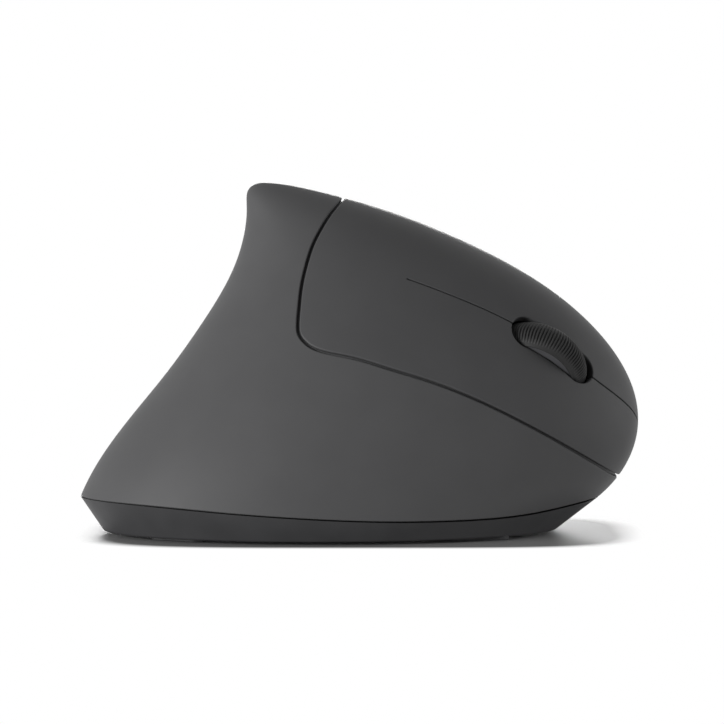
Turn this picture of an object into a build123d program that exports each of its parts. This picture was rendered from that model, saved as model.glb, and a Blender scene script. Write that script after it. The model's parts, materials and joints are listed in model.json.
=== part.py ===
from build123d import *
import math
import os

# A right-handed vertical mouse: +X points to the front, +Y to the thumb side, +Z up.
# The origin is under the middle of the body, on the surface that the feet stand on.

# Overall size.
length = 120.0
width = 62.8
height = 74.8

# Walls and gaps of the outer shells.
wall = 2.0
seam_gap = 0.3
panel_gap = 0.6
split_gap = 0.35
hinge_gap = 0.4
tongue_clearance = 0.2
tongue_wall = 1.0
tongue_reach = 2.5
lip_height = 1.6
overrun = 5.0

# The form is a stack of level outlines. Each row holds a height share, then the rear and front
# ends as shares of the length, then the sideways places of the rear end, the front end, the
# finger side and the thumb side as shares of the width.
level_shares = [
    (0.0, -0.5208, 0.3375, -0.048, 0.032, -0.508, 0.543),
    (0.107, -0.4992, 0.4325, -0.040, 0.064, -0.494, 0.470),
    (0.214, -0.4642, 0.4850, -0.029, 0.096, -0.468, 0.356),
    (0.321, -0.4158, 0.5000, -0.014, 0.119, -0.433, 0.283),
    (0.441, -0.3550, 0.4825, 0.008, 0.135, -0.381, 0.240),
    (0.575, -0.2942, 0.4250, 0.038, 0.148, -0.307, 0.226),
    (0.722, -0.2383, 0.3133, 0.080, 0.156, -0.205, 0.237),
    (0.842, -0.2117, 0.1708, 0.110, 0.154, -0.102, 0.252),
    (0.922, -0.2058, 0.0420, 0.123, 0.146, -0.016, 0.244),
    (0.976, -0.2042, -0.0790, 0.127, 0.135, 0.064, 0.201),
    (1.0, -0.1767, -0.1767, 0.127, 0.127, 0.127, 0.127),
]
thumb_fullness_share = 0.36
crown_share = 0.97
form_levels = 21
outline_points = 32
outline_turns = [2 * math.pi * k / outline_points for k in range(outline_points)]

# The seam over the base, as places along the length and shares of the height.
seam_shares = [
    (-0.53, 0.108),
    (-0.367, 0.104),
    (-0.233, 0.091),
    (-0.1, 0.078),
    (0.033, 0.068),
    (0.167, 0.065),
    (0.3, 0.074),
    (0.383, 0.092),
    (0.48, 0.107),
]

# The underside.
foot_height = 0.7
foot_recess = 0.4
floor_wall = 2.0
base_wall = 3.2
base_edge_radius = 0.8
base_stock_height = 12.0
base_foot_share = (-0.4575, 0.35, -0.04, 0.02, -0.45, 0.44)
floor_top = foot_height + floor_wall
front_feet_shares = [(0.205, -0.255), (0.19, 0.285)]
front_foot_length = 13.0
rear_feet_shares = [(-0.32, -0.288), (-0.33, 0.254)]
rear_foot_turns = [-26, 14]
rear_foot_length = 12.0
foot_width = 3.6

# Screws that hold the covers to the base, from below.
case_screw_shares = [(-0.30, -0.285), (0.225, -0.258), (-0.255, 0.242), (0.025, 0.30)]
screw_head_diameter = 4.2
screw_head_height = 1.4
screw_diameter = 1.9
screw_length = 9.0
screw_clearance = 0.25
pilot_clearance = 0.05
screw_recess = 2.2
boss_diameter = 6.4
boss_height = 4.3
post_diameter = 6.0
post_height = 17.0
post_rib = 2.0
joint_gap = 0.3
fit_gap = 0.2

# The two cells and their bay.
cell_diameter = 10.5
cell_length = 44.5
cell_tip_diameter = 3.8
cell_tip_length = 1.0
cell_spacing = 0.6
cell_play = 0.3
cell_spring_space = 4.6
contact_thickness = 0.4
contact_width = 8.0
contact_wire = 0.6
contact_coil_radius = 3.0
contact_turns = 3
bay_wall = 1.0
bay_place_share = (-0.148, -0.011)
bay_length = cell_length + cell_spring_space + 2 * contact_thickness + cell_play
bay_width = 2 * cell_diameter + cell_spacing + 2 * cell_play
bay_x = bay_place_share[0] * length
bay_y = bay_place_share[1] * width

# The battery door turns on two stubs at its rear end.
door_thickness = 1.6
door_lap = 1.4
door_gap = 0.3
door_stub_radius = 0.5
door_stub_length = 1.0
door_stub_clearance = 0.06
door_groove_width = 0.8
door_groove_depth = 0.4
door_groove_length = 12.0
door_groove_pitch = 2.0
door_pivot_x = bay_x - bay_length / 2 - door_lap + door_gap + door_thickness / 2
door_pivot_z = foot_height + door_thickness / 2
cell_z = foot_height + door_thickness + 2 * cell_play + cell_diameter / 2
bay_top = cell_z + cell_diameter / 2 + cell_play

# The radio receiver is stowed upright in the base.
receiver_place_share = (-0.092, -0.303)
receiver_cap_length = 14.4
receiver_cap_width = 6.2
receiver_cap_height = 6.2
plug_length = 12.0
plug_width = 4.5
plug_height = 12.0
plug_wall = 0.4
plug_tongue = 1.8
receiver_recess = 0.2
receiver_x = receiver_place_share[0] * length
receiver_y = receiver_place_share[1] * width

# The main board and what stands on it.
board_thickness = 1.6
main_board_height = 7.4
main_board_shares = [
    (0.079, -0.295),
    (0.171, -0.295),
    (0.215, -0.178),
    (0.3125, -0.178),
    (0.367, -0.064),
    (0.367, 0.191),
    (0.333, 0.255),
    (0.079, 0.255),
]
standoff_shares = [(0.104, -0.239), (0.104, 0.215), (0.279, 0.199)]
standoff_diameter = 4.4
board_screw_diameter = 1.5
board_screw_head = 3.0
board_screw_length = 5.0
board_screw_head_height = 1.1
main_board_top = main_board_height + board_thickness
sensor_share = (0.142, 0.048)
sensor_length = 11.0
sensor_width = 9.0
sensor_height = 2.8
lens_length = 16.6
lens_width = 12.0
lens_thickness = 1.6
lens_barrel_diameter = 5.6
lens_rim = 0.6
chip_share = (0.329, 0.056)
chip_size = 5.0
chip_height = 0.9
crystal_share = (0.333, 0.135)
crystal_length = 3.2
crystal_width = 1.4
capacitor_share = (0.108, -0.140)
capacitor_diameter = 4.0
capacitor_height = 5.4
socket_length = 6.0
socket_width = 3.0
socket_height = 3.2
button_socket_share = (0.229, -0.105)
side_socket_share = (0.160, 0.183)

# The power switch slides across the underside.
power_share = (0.30, 0.056)
power_travel = 2.6
power_body_length = 9.0
power_body_width = 4.0
power_body_height = 3.4
knob_length = 3.0
knob_width = 2.8
knob_flange_length = 8.4
knob_flange_width = 4.6
knob_flange_height = 0.7
knob_stem = 1.2
knob_reach = 1.2
knob_recess = 0.3

# The inner frame stands on three legs and carries the button board in the wheel's plane.
leg_shares = [(0.1667, -0.135), (0.2917, -0.0876), (0.2417, 0.143)]
leg_diameter = 5.6
leg_seat_height = 1.5
board_depth = 13.2
frame_thickness = 2.0
button_board_front = 16.6
button_board_half = 14.3
button_board_nose = 6.0
button_board_taper = 1.8
frame_edge = 0.5
frame_foot_reach = 16.5
button_screw_shares = [(0.0708, -0.0958), (0.0708, 0.0875)]
button_screw_length = 3.4
slot_play = 0.7

# The wheel, its hub, and the carrier that lets it be pressed.
wheel_radius = 11.0
wheel_protrusion = 3.7
wheel_depth = wheel_radius - wheel_protrusion
tyre_width = 7.0
tyre_crown = 1.8
tyre_ribs = 66
rib_groove_width = 0.45
rib_groove_depth = 0.4
hub_radius = 8.8
hub_width = 6.8
hub_web = 2.4
hub_rim = 1.6
drum_radius = 3.6
drum_wall = 0.9
drum_width = 2.5
drum_slots = 12
drum_slot_width = 0.8
axle_radius = 1.25
running_clearance = 0.06
carrier_half_width = 7.6
carrier_wall = 1.1
carrier_inner = 12.0
carrier_bar = 3.2
carrier_top_depth = 6.5
carrier_height = 3.4
carrier_boss_radius = 2.6
pivot_pin_radius = 0.75
ear_thickness = 1.4
ear_width = 3.4
ear_rise = 1.6
ear_gap = 0.4
detector_place = 5.6
detector_size = 1.8
detector_height = 6.8

# The switches under the main buttons and under the wheel.
switch_length = 12.8
switch_width = 5.8
switch_height = 6.5
switch_x = -5.0
switch_y = 11.0
plunger_offset = 2.0
plunger_length = 2.6
plunger_width = 1.4
plunger_height = 2.2
plunger_rise = 0.7
plunger_play = 0.15
switch_pocket = 2.4
button_post_diameter = 3.5
wheel_switch_size = 4.4
wheel_switch_height = 2.2
wheel_switch_pocket = 2.0
wheel_plunger_radius = 1.0
wheel_plunger_play = 1.3

# The buttons on the thumb side, in a row under the ridge.
side_row_angle = -16.2
back_share = (-0.067, 0.775)
forward_share = (0.0875, 0.703)
dpi_share = (0.192, 0.655)
side_button_length = 16.0
side_button_width = 6.6
dpi_radius = 3.2
side_button_gap = 0.3
side_button_rise = 0.8
side_board_face = 8.6
side_board_length = 42.0
side_board_width = 13.5
side_board_share = (0.041, 0.695)
tact_size = 6.0
tact_height = 2.5
tact_plunger_radius = 1.2
tact_plunger_height = 1.9
tact_plunger_rise = 0.7
tact_pocket = 2.3
side_stem_radius = 1.6
side_post_shares = [(-0.004, 0.660), (0.142, 0.600)]
side_post_radius = 1.8
side_screw_length = 3.5


def smooth_curve(points):
    """A natural cubic curve through pairs of a place and a value."""
    places = [place for place, value in points]
    values = [value for place, value in points]
    count = len(points)
    steps = [places[i + 1] - places[i] for i in range(count - 1)]
    diagonal = [1.0] + [2 * (steps[i - 1] + steps[i]) for i in range(1, count - 1)] + [1.0]
    slopes = [(values[i + 1] - values[i]) / steps[i] for i in range(count - 1)]
    bends = [0.0] + [6 * (slopes[i] - slopes[i - 1]) for i in range(1, count - 1)] + [0.0]
    for i in range(2, count - 1):
        factor = steps[i - 1] / diagonal[i - 1]
        diagonal[i] -= factor * steps[i - 1]
        bends[i] -= factor * bends[i - 1]
    for i in range(count - 2, 0, -1):
        bends[i] = (bends[i] - steps[i] * bends[i + 1]) / diagonal[i]

    def value_at(place):
        i = 0
        while i < count - 2 and place > places[i + 1]:
            i += 1
        before = places[i + 1] - place
        after = place - places[i]
        cubic = (bends[i] * before**3 + bends[i + 1] * after**3) / (6 * steps[i])
        low = values[i] / steps[i] - bends[i] * steps[i] / 6
        high = values[i + 1] / steps[i] - bends[i + 1] * steps[i] / 6
        return cubic + low * before + high * after

    return value_at


def rise_of(height_share):
    """The rise runs from 0 at the foot to 1 at the crown, evenly over the dome."""
    return 1 - math.sqrt(max(0, 1 - height_share))


form_curves = [
    smooth_curve([(rise_of(row[0]), row[column]) for row in level_shares]) for column in range(1, 7)
]
seam_curve = smooth_curve(seam_shares)


def level_outline(rise, inset=0):
    """Centre, half length and the four sideways places of one level of the form."""
    rear, front, rear_side, front_side, finger, thumb = [curve(rise) for curve in form_curves]
    draw_in = 1.2 * inset * (1 - rise)
    middle = (rear + front) / 2 * length
    reach = (front - rear) / 2 * length - draw_in
    spine = (rear_side + front_side) / 2 * width
    skew = (front_side - rear_side) / 2 * width
    return middle, reach, spine, skew, finger * width + draw_in, thumb * width - draw_in


def outline_point(outline, turn):
    """A point of a level: turn 0 is the nose, a quarter turn the finger side."""
    middle, reach, spine, skew, finger, thumb = outline
    along, across = math.cos(turn), math.sin(turn)
    side = (finger - spine) * across
    if across < 0:
        side = (thumb - spine) * (across * across) ** thumb_fullness_share
    return middle + reach * along, spine + skew * along + side


def level_height(rise, inset=0):
    return (height - inset) * (1 - (1 - rise) ** 2)


def form_point(rise, turn, inset=0):
    x, y = outline_point(level_outline(rise, inset), turn)
    return Vector(x, y, level_height(rise, inset))


def finger_side(x, z):
    """The point of the finger side at a place seen from that side, and its outward normal."""
    rise = rise_of(z / height)
    middle, reach = level_outline(rise)[:2]
    turn = math.acos((x - middle) / reach)
    step = 1e-4
    point = form_point(rise, turn)
    up = form_point(rise + step, turn) - point
    around = form_point(rise, turn + step) - point
    return point, up.cross(around).normalized()


def is_inside(point, inset):
    """Whether a point lies inside the form drawn in by an inset."""
    if not 0 <= point.Z < height - inset:
        return False
    outline = level_outline(rise_of(point.Z / (height - inset)), inset)
    share = (point.X - outline[0]) / outline[1]
    if abs(share) >= 1:
        return False
    turn = math.acos(share)
    return outline_point(outline, turn)[1] < point.Y < outline_point(outline, -turn)[1]


def cover_height(plane, x, y, inset):
    """How far along a plane's normal the form's inset surface lies over a place of it."""
    low, high = -wall * 8, wall * 8
    while high - low > 1e-3:
        middle = (low + high) / 2
        if is_inside(plane.from_local_coords(Vector(x, y, middle)), inset):
            low = middle
        else:
            high = middle
    return low


def closed_curve(points):
    """A closed smooth edge through points that are evenly spaced in turn."""
    places = [k / len(points) for k in range(len(points) + 1)]
    return Edge.make_spline([Vector(*point) for point in points], periodic=True, parameters=places)


def body_form(inset):
    """The whole body as one solid, drawn in by an inset."""
    with BuildPart() as form:
        for i in range(form_levels):
            rise = crown_share * i / (form_levels - 1)
            outline = level_outline(rise, inset)
            with BuildSketch(Plane.XY.offset(level_height(rise, inset))):
                with BuildLine():
                    add(closed_curve([outline_point(outline, turn) for turn in outline_turns]))
                make_face()
        loft()
    return form.part


# Side outlines, as shares of the length and the height.
panel_edge_shares = [
    (0.0, 1.06),
    (-0.026, 0.963),
    (-0.050, 0.915),
    (-0.068, 0.870),
    (-0.082, 0.826),
    (-0.093, 0.773),
    (-0.102, 0.708),
    (-0.106, 0.646),
    (-0.1075, 0.604),
    (-0.1058, 0.5815),
    (-0.0975, 0.5625),
    (-0.0855, 0.5475),
    (-0.070, 0.5375),
    (-0.0175, 0.520),
    (0.048, 0.490),
    (0.115, 0.457),
    (0.194, 0.408),
    (0.274, 0.345),
    (0.357, 0.269),
    (0.45, 0.174),
    (0.56, 0.06),
]
thumb_edge_shares = [
    (0.375, 0.04),
    (0.4125, 0.154),
    (0.444, 0.235),
    (0.454, 0.321),
    (0.440, 0.415),
    (0.392, 0.526),
    (0.288, 0.661),
    (0.151, 0.775),
    (0.028, 0.853),
    (-0.067, 0.896),
    (-0.133, 0.889),
    (-0.171, 0.829),
    (-0.200, 0.709),
    (-0.254, 0.561),
    (-0.317, 0.415),
    (-0.375, 0.281),
    (-0.425, 0.160),
    (-0.447, 0.04),
]
mid_plane_share = 0.064

# The wheel's place on the finger side, and the line between the two main buttons.
wheel_place_share = (0.34, 0.533)
wheel_front_share = (0.404, 0.456)
wheel_rear_share = (0.273, 0.600)
split_shares = [
    (-0.2825, -0.009),
    (-0.1875, -0.005),
    (-0.082, 0.0),
    (0.082, 0.0),
    (0.143, 0.011),
    (0.202, 0.032),
    (0.283, 0.071),
]

os.makedirs("parts", exist_ok=True)


def keep(part, name):
    part.label = name
    export_step(part, f"parts/{name}.step")


def side_point(share):
    return (share[0] * length, share[1] * height)


def shifted_points(points, shift):
    """Points beside a smooth curve through some points: a positive shift is to its left."""
    curve = Edge.make_spline([Vector(*point) for point in points])
    shifted = []
    for point in points:
        tangent = curve.tangent_at(curve.param_at_point(Vector(*point)))
        shifted.append(Vector(*point) + Vector(-tangent.Y, tangent.X) * shift)
    return shifted


def panel_outline(margin=0):
    """The outline of the finger panel, seen from the finger side."""
    with BuildSketch(Plane.XZ) as outline:
        with BuildLine():
            edge = Spline(*shifted_points([side_point(share) for share in panel_edge_shares], -margin))
            Polyline(edge @ 1, (length, (edge @ 1).Y), (length, (edge @ 0).Y), edge @ 0)
        make_face()
    return outline.sketch


def thumb_outline(margin=0):
    """The outline of the thumb panel, open past the seam at the bottom."""
    with BuildSketch(Plane.XZ.offset(-mid_plane_share * width)) as outline:
        with BuildLine():
            edge = Spline(*shifted_points([side_point(share) for share in thumb_edge_shares], -margin))
            Polyline(edge @ 1, ((edge @ 1).X, -overrun), ((edge @ 0).X, -overrun), edge @ 0)
        make_face()
    return outline.sketch


def above_seam(gap):
    """Everything over the base's seam, from a gap above it."""
    with BuildPart() as space:
        with BuildSketch(Plane.XZ):
            with BuildLine():
                seam = Spline(*[(x * length, z * height + gap) for x, z in seam_shares])
                Polyline(
                    seam @ 1,
                    (length, (seam @ 1).Y),
                    (length, height + overrun),
                    (-length, height + overrun),
                    (-length, (seam @ 0).Y),
                    seam @ 0,
                )
            make_face()
        extrude(amount=width, both=True)
    return space.part


# The plane of the wheel: its origin is on the surface, x runs forward along the slot,
# y towards the ridge and z outwards.
wheel_place, wheel_normal = finger_side(*side_point(wheel_place_share))
wheel_span = finger_side(*side_point(wheel_front_share))[0] - finger_side(*side_point(wheel_rear_share))[0]
wheel_across = wheel_normal.cross(wheel_span).normalized()
wheel_plane = Plane(wheel_place, x_dir=wheel_across.cross(wheel_normal), z_dir=wheel_normal)
wheel_axis = Axis(wheel_plane.origin, wheel_plane.z_dir)
hinge_x = split_shares[0][0] * length

slot_length = 21.8
slot_width = 8.4


def button_zone(side):
    """The space of one main button along the press direction: side 1 is the upper one."""
    split_points = [(x * length, y * length) for x, y in split_shares]
    with BuildPart() as zone:
        with BuildSketch(wheel_plane):
            with BuildLine():
                split = Spline(*shifted_points(split_points, side * split_gap / 2))
                Polyline(
                    split @ 1,
                    (length, (split @ 1).Y),
                    (length, side * length),
                    (hinge_x, side * length),
                    split @ 0,
                )
            make_face()
            SlotOverall(slot_length, slot_width, mode=Mode.SUBTRACT)
        extrude(amount=width, both=True)
    return zone.part


def rear_zone():
    """The space of the panel's fixed part, behind the hinge line."""
    with BuildPart() as zone:
        with BuildSketch(wheel_plane):
            with Locations((hinge_x - hinge_gap, 0)):
                Rectangle(length, 2 * length, align=(Align.MAX, Align.CENTER))
        extrude(amount=width, both=True)
    return zone.part


outer_form = body_form(0)
middle_form = body_form(wall / 2)
inner_form = body_form(wall)
tongue_form = body_form(wall + tongue_clearance)
deep_form = body_form(wall + tongue_clearance + tongue_wall)
upper_space = above_seam(seam_gap / 2)

with BuildPart() as shell:
    add(outer_form)
    add(upper_space, mode=Mode.INTERSECT)
    add(inner_form, mode=Mode.SUBTRACT)

with BuildPart() as panel_space:
    extrude(panel_outline(), amount=width, both=True)
    extrude(thumb_outline(panel_gap), amount=-width, mode=Mode.SUBTRACT)


def place(share):
    """A place on the base, from shares of the length and the width."""
    return (share[0] * length, share[1] * width)


def foot_outline(inset):
    rear, front, rear_side, front_side, finger, thumb = base_foot_share
    middle = (rear + front) / 2 * length
    reach = (front - rear) / 2 * length - inset
    spine = (rear_side + front_side) / 2 * width
    skew = (front_side - rear_side) / 2 * width
    return middle, reach, spine, skew, finger * width + inset, thumb * width - inset


def stock_point(turn):
    """A point of the base's side wall, carried on in a straight line past the seam."""
    z = foot_height
    for step in range(8):
        x, y = outline_point(level_outline(rise_of(z / height)), turn)
        z = seam_curve(x / length) * height
    foot_x, foot_y = outline_point(foot_outline(0), turn)
    stretch = (base_stock_height - foot_height) / (z - foot_height)
    return foot_x + (x - foot_x) * stretch, foot_y + (y - foot_y) * stretch


def circles(plane, places, radius):
    with BuildSketch(plane) as sketch:
        with Locations(*places):
            Circle(radius)
    return sketch.sketch


def rectangles(plane, places, x_size, y_size, rotation=0):
    with BuildSketch(plane) as sketch:
        with Locations(*places):
            Rectangle(x_size, y_size, rotation=rotation)
    return sketch.sketch


# Thumb-side pieces are drawn seen from the finger side and run towards the thumb side.
side_plane = Plane.XZ.offset(-mid_plane_share * width)
side_board_plane = Plane.XZ.offset(-side_board_face)


def button_post(side):
    """The post under a main button that pushes its switch: side 1 is the upper button."""
    x = switch_x + plunger_offset
    y = side * switch_y
    low = -board_depth + switch_height + plunger_rise
    high = cover_height(wheel_plane, x, y, wall / 2)
    with BuildPart() as post:
        extrude(circles(wheel_plane.offset(low), [(x, y)], button_post_diameter / 2), amount=high - low)
    return post.part


with BuildPart() as side_posts:
    places = [side_point(share) for share in side_post_shares]
    extrude(circles(side_board_plane, places, side_post_radius), amount=-width)
    add(middle_form, mode=Mode.INTERSECT)
    extrude(
        circles(side_board_plane, places, board_screw_diameter / 2 + pilot_clearance),
        amount=-side_screw_length,
        mode=Mode.SUBTRACT,
    )


def shell_posts(shares, outward):
    """Posts for the case screws, with a rib out to the wall of the cover."""
    low = floor_top + boss_height + joint_gap
    rib_align = Align.MIN if outward > 0 else Align.MAX
    with BuildPart() as posts:
        with BuildSketch(Plane.XY.offset(low)):
            with Locations(*[place(share) for share in shares]):
                Circle(post_diameter / 2)
        extrude(amount=post_height)
        with BuildSketch(Plane.XY.offset(base_stock_height)):
            with Locations(*[place(share) for share in shares]):
                Rectangle(post_rib, width, align=(Align.CENTER, rib_align))
        extrude(amount=post_height - base_stock_height + low)
        add(middle_form, mode=Mode.INTERSECT)
        with BuildSketch(Plane.XY.offset(low)):
            with Locations(*[place(share) for share in shares]):
                Circle(screw_diameter / 2 + pilot_clearance)
        extrude(amount=screw_length, mode=Mode.SUBTRACT)
    return posts.part


with BuildPart() as left_button:
    add(panel_space.part)
    add(button_zone(1), mode=Mode.INTERSECT)
    add(shell.part, mode=Mode.INTERSECT)
    add(button_post(1))
keep(left_button.part, "left_button")

with BuildPart() as right_button:
    add(panel_space.part)
    add(button_zone(-1), mode=Mode.INTERSECT)
    add(shell.part, mode=Mode.INTERSECT)
    add(button_post(-1))
keep(right_button.part, "right_button")

key_plate_skin = panel_space.part & rear_zone() & outer_form - tongue_form

with BuildPart() as key_plate:
    add(panel_space.part)
    extrude(panel_outline(tongue_reach), amount=width, both=True)
    add(rear_zone(), mode=Mode.INTERSECT)
    add(tongue_form, mode=Mode.INTERSECT)
    add(deep_form, mode=Mode.SUBTRACT)
    extrude(thumb_outline(-tongue_reach), amount=-width, mode=Mode.SUBTRACT)
    add(key_plate_skin)
keep(key_plate.part, "key_plate")

side_places = [side_point(share) for share in (back_share, forward_share)]


def side_outline(plane, gap):
    """The outlines of the two long thumb buttons, with a gap around them."""
    with BuildSketch(plane) as outline:
        with Locations(*side_places):
            SlotOverall(side_button_length + 2 * gap, side_button_width + 2 * gap, rotation=side_row_angle)
    return outline.sketch


with BuildPart() as thumb_panel:
    add(shell.part)
    extrude(thumb_outline(), amount=-width, mode=Mode.INTERSECT)
    extrude(side_outline(side_plane, side_button_gap), amount=-width, mode=Mode.SUBTRACT)
    extrude(
        circles(side_plane, [side_point(dpi_share)], dpi_radius + side_button_gap),
        amount=-width,
        mode=Mode.SUBTRACT,
    )
    add(shell_posts(case_screw_shares[2:], 1))
    add(side_posts)
keep(thumb_panel.part, "thumb_panel")

with BuildPart() as grip_shell:
    add(shell.part)
    extrude(panel_outline(panel_gap), amount=width, both=True, mode=Mode.SUBTRACT)
    extrude(thumb_outline(panel_gap), amount=-width, mode=Mode.SUBTRACT)
    add(shell_posts(case_screw_shares[:2], -1))
keep(grip_shell.part, "grip_shell")


def rear_feet_outline(level, grow):
    """The rear feet turn with the outline of the base."""
    with BuildSketch(Plane.XY.offset(level)) as outline:
        for share, turn in zip(rear_feet_shares, rear_foot_turns):
            with Locations(place(share)):
                SlotOverall(rear_foot_length + grow, foot_width + grow, rotation=turn)
    return outline.sketch


with BuildPart() as rim_lip:
    add(above_seam(-floor_wall / 2))
    add(above_seam(lip_height), mode=Mode.SUBTRACT)
    add(tongue_form, mode=Mode.INTERSECT)

with BuildPart() as base_case:
    with BuildSketch(Plane.XY.offset(foot_height)):
        with BuildLine():
            add(closed_curve([outline_point(foot_outline(0), turn) for turn in outline_turns]))
        make_face()
    with BuildSketch(Plane.XY.offset(base_stock_height)):
        with BuildLine():
            add(closed_curve([stock_point(turn) for turn in outline_turns]))
        make_face()
    loft(ruled=True)
    fillet(base_case.edges().sort_by(Axis.Z)[0], base_edge_radius)
    add(above_seam(-seam_gap / 2), mode=Mode.SUBTRACT)
    add(rim_lip.part)
    with BuildSketch(Plane.XY.offset(floor_top)):
        with BuildLine():
            add(closed_curve([outline_point(foot_outline(base_wall), turn) for turn in outline_turns]))
        make_face()
    with BuildSketch(Plane.XY.offset(base_stock_height)):
        rise = rise_of(base_stock_height / (height - base_wall))
        with BuildLine():
            add(closed_curve([outline_point(level_outline(rise, base_wall), turn) for turn in outline_turns]))
        make_face()
    loft(ruled=True, mode=Mode.SUBTRACT)
    # The walls of the cell bay and of the receiver's well, and the bosses.
    with BuildSketch(Plane.XY.offset(foot_height)):
        with Locations((bay_x, bay_y)):
            Rectangle(bay_length + 2 * bay_wall, bay_width + 2 * bay_wall)
    extrude(amount=bay_top + bay_wall - foot_height)
    with BuildSketch(Plane.XY.offset(foot_height)):
        with Locations((receiver_x, receiver_y)):
            Rectangle(
                receiver_cap_length + 2 * (fit_gap + bay_wall), receiver_cap_width + 2 * (fit_gap + bay_wall)
            )
    extrude(amount=receiver_recess + receiver_cap_height + bay_wall)
    with BuildSketch(Plane.XY.offset(foot_height)):
        with Locations((receiver_x, receiver_y)):
            Rectangle(plug_length + 2 * (fit_gap + bay_wall), plug_width + 2 * (fit_gap + bay_wall))
    extrude(amount=receiver_recess + receiver_cap_height + plug_height + cell_play + bay_wall)
    with BuildSketch(Plane.XY.offset(floor_top)):
        with Locations(*[place(share) for share in case_screw_shares]):
            Circle(boss_diameter / 2)
    extrude(amount=boss_height)
    with BuildSketch(Plane.XY.offset(floor_top)):
        with Locations(*[place(share) for share in leg_shares]):
            Circle(boss_diameter / 2)
    extrude(amount=leg_seat_height)
    with BuildSketch(Plane.XY.offset(floor_top)):
        with Locations(*[place(share) for share in standoff_shares]):
            Circle(standoff_diameter / 2)
    extrude(amount=main_board_height - floor_top)
    # The recess of the door, the bay, the hinge holes and a nail notch.
    with BuildSketch(Plane.XY.offset(foot_height)):
        with Locations((bay_x, bay_y)):
            Rectangle(bay_length + 2 * door_lap, bay_width + 2 * door_lap)
    extrude(amount=door_thickness + cell_play / 3, mode=Mode.SUBTRACT)
    with BuildSketch(Plane.XY.offset(foot_height)):
        with Locations((bay_x, bay_y)):
            Rectangle(bay_length, bay_width)
    extrude(amount=bay_top - foot_height, mode=Mode.SUBTRACT)
    with BuildSketch(Plane.XZ.offset(-bay_y)):
        with Locations((door_pivot_x, door_pivot_z)):
            Circle(door_stub_radius + door_stub_clearance)
    extrude(
        amount=bay_width / 2 + door_lap + door_stub_length + door_stub_clearance,
        both=True,
        mode=Mode.SUBTRACT,
    )
    with BuildSketch(Plane.XY.offset(foot_height)):
        with Locations((bay_x + bay_length / 2 + door_lap, bay_y)):
            SlotOverall(door_groove_length, 2 * door_lap, rotation=90)
    extrude(amount=door_thickness / 2, mode=Mode.SUBTRACT)
    # The receiver's well.
    with BuildSketch(Plane.XY.offset(foot_height)):
        with Locations((receiver_x, receiver_y)):
            Rectangle(receiver_cap_length + 2 * fit_gap, receiver_cap_width + 2 * fit_gap)
    extrude(amount=receiver_recess + receiver_cap_height + fit_gap, mode=Mode.SUBTRACT)
    with BuildSketch(Plane.XY.offset(foot_height)):
        with Locations((receiver_x, receiver_y)):
            Rectangle(plug_length + 2 * fit_gap, plug_width + 2 * fit_gap)
    extrude(amount=receiver_recess + receiver_cap_height + plug_height + cell_play, mode=Mode.SUBTRACT)
    # Screw holes from below.
    with Locations(*[Location((*place(share), foot_height), (180, 0, 0)) for share in case_screw_shares]):
        CounterBoreHole(
            screw_diameter / 2 + screw_clearance, screw_head_diameter / 2 + screw_clearance, screw_recess
        )
    with Locations(*[Location((*place(share), foot_height), (180, 0, 0)) for share in leg_shares]):
        CounterBoreHole(
            screw_diameter / 2 + screw_clearance,
            screw_head_diameter / 2 + screw_clearance,
            screw_head_height + fit_gap,
        )
    with BuildSketch(Plane.XY.offset(main_board_height)):
        with Locations(*[place(share) for share in standoff_shares]):
            Circle(board_screw_diameter / 2 + pilot_clearance)
    extrude(amount=-(board_screw_length - board_thickness + fit_gap), mode=Mode.SUBTRACT)
    # The sensor's window and the slot of the power switch.
    with BuildSketch(Plane.XY.offset(foot_height)):
        with Locations(place(sensor_share)):
            SlotOverall(sensor_length, lens_barrel_diameter + 2 * fit_gap)
    extrude(amount=floor_wall, mode=Mode.SUBTRACT)
    with BuildSketch(Plane.XY.offset(foot_height)):
        with Locations(place(power_share)):
            Rectangle(knob_width + 2 * fit_gap, knob_length + power_travel + 2 * fit_gap)
    extrude(amount=floor_wall, mode=Mode.SUBTRACT)
    # Shallow seats for the feet.
    with BuildSketch(Plane.XY.offset(foot_height)):
        with Locations(*[place(share) for share in front_feet_shares]):
            SlotOverall(front_foot_length + fit_gap, foot_width + fit_gap)
    extrude(amount=foot_recess, mode=Mode.SUBTRACT)
    extrude(rear_feet_outline(foot_height, fit_gap), amount=foot_recess, mode=Mode.SUBTRACT)
keep(base_case.part, "base_case")

with BuildPart() as front_feet:
    with BuildSketch(Plane.XY):
        with Locations(*[place(share) for share in front_feet_shares]):
            SlotOverall(front_foot_length, foot_width)
    extrude(amount=foot_height + foot_recess)
    chamfer(front_feet.faces().group_by(Axis.Z)[0].edges(), foot_recess / 2)
keep(front_feet.part, "front_feet")

with BuildPart() as rear_feet:
    extrude(rear_feet_outline(0, 0), amount=foot_height + foot_recess)
    chamfer(rear_feet.faces().group_by(Axis.Z)[0].edges(), foot_recess / 2)
keep(rear_feet.part, "rear_feet")

with BuildPart() as battery_door:
    with BuildSketch(Plane.XZ.offset(-bay_y)):
        with Locations((door_pivot_x, door_pivot_z)):
            Circle(door_thickness / 2)
            Rectangle(
                bay_x + bay_length / 2 + door_lap - door_gap - door_pivot_x,
                door_thickness,
                align=(Align.MIN, Align.CENTER),
            )
    extrude(amount=bay_width / 2 + door_lap - door_gap, both=True)
    with BuildSketch(Plane.XZ.offset(-bay_y)):
        with Locations((door_pivot_x, door_pivot_z)):
            Circle(door_stub_radius)
    extrude(amount=bay_width / 2 + door_lap + door_stub_length, both=True)
    with BuildSketch(Plane.XY.offset(foot_height)):
        with Locations((bay_x + bay_length / 2 - door_groove_length / 2, bay_y)):
            with GridLocations(door_groove_pitch, 0, 4, 1):
                SlotOverall(door_groove_length, door_groove_width, rotation=90)
    extrude(amount=door_groove_depth, mode=Mode.SUBTRACT)
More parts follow.
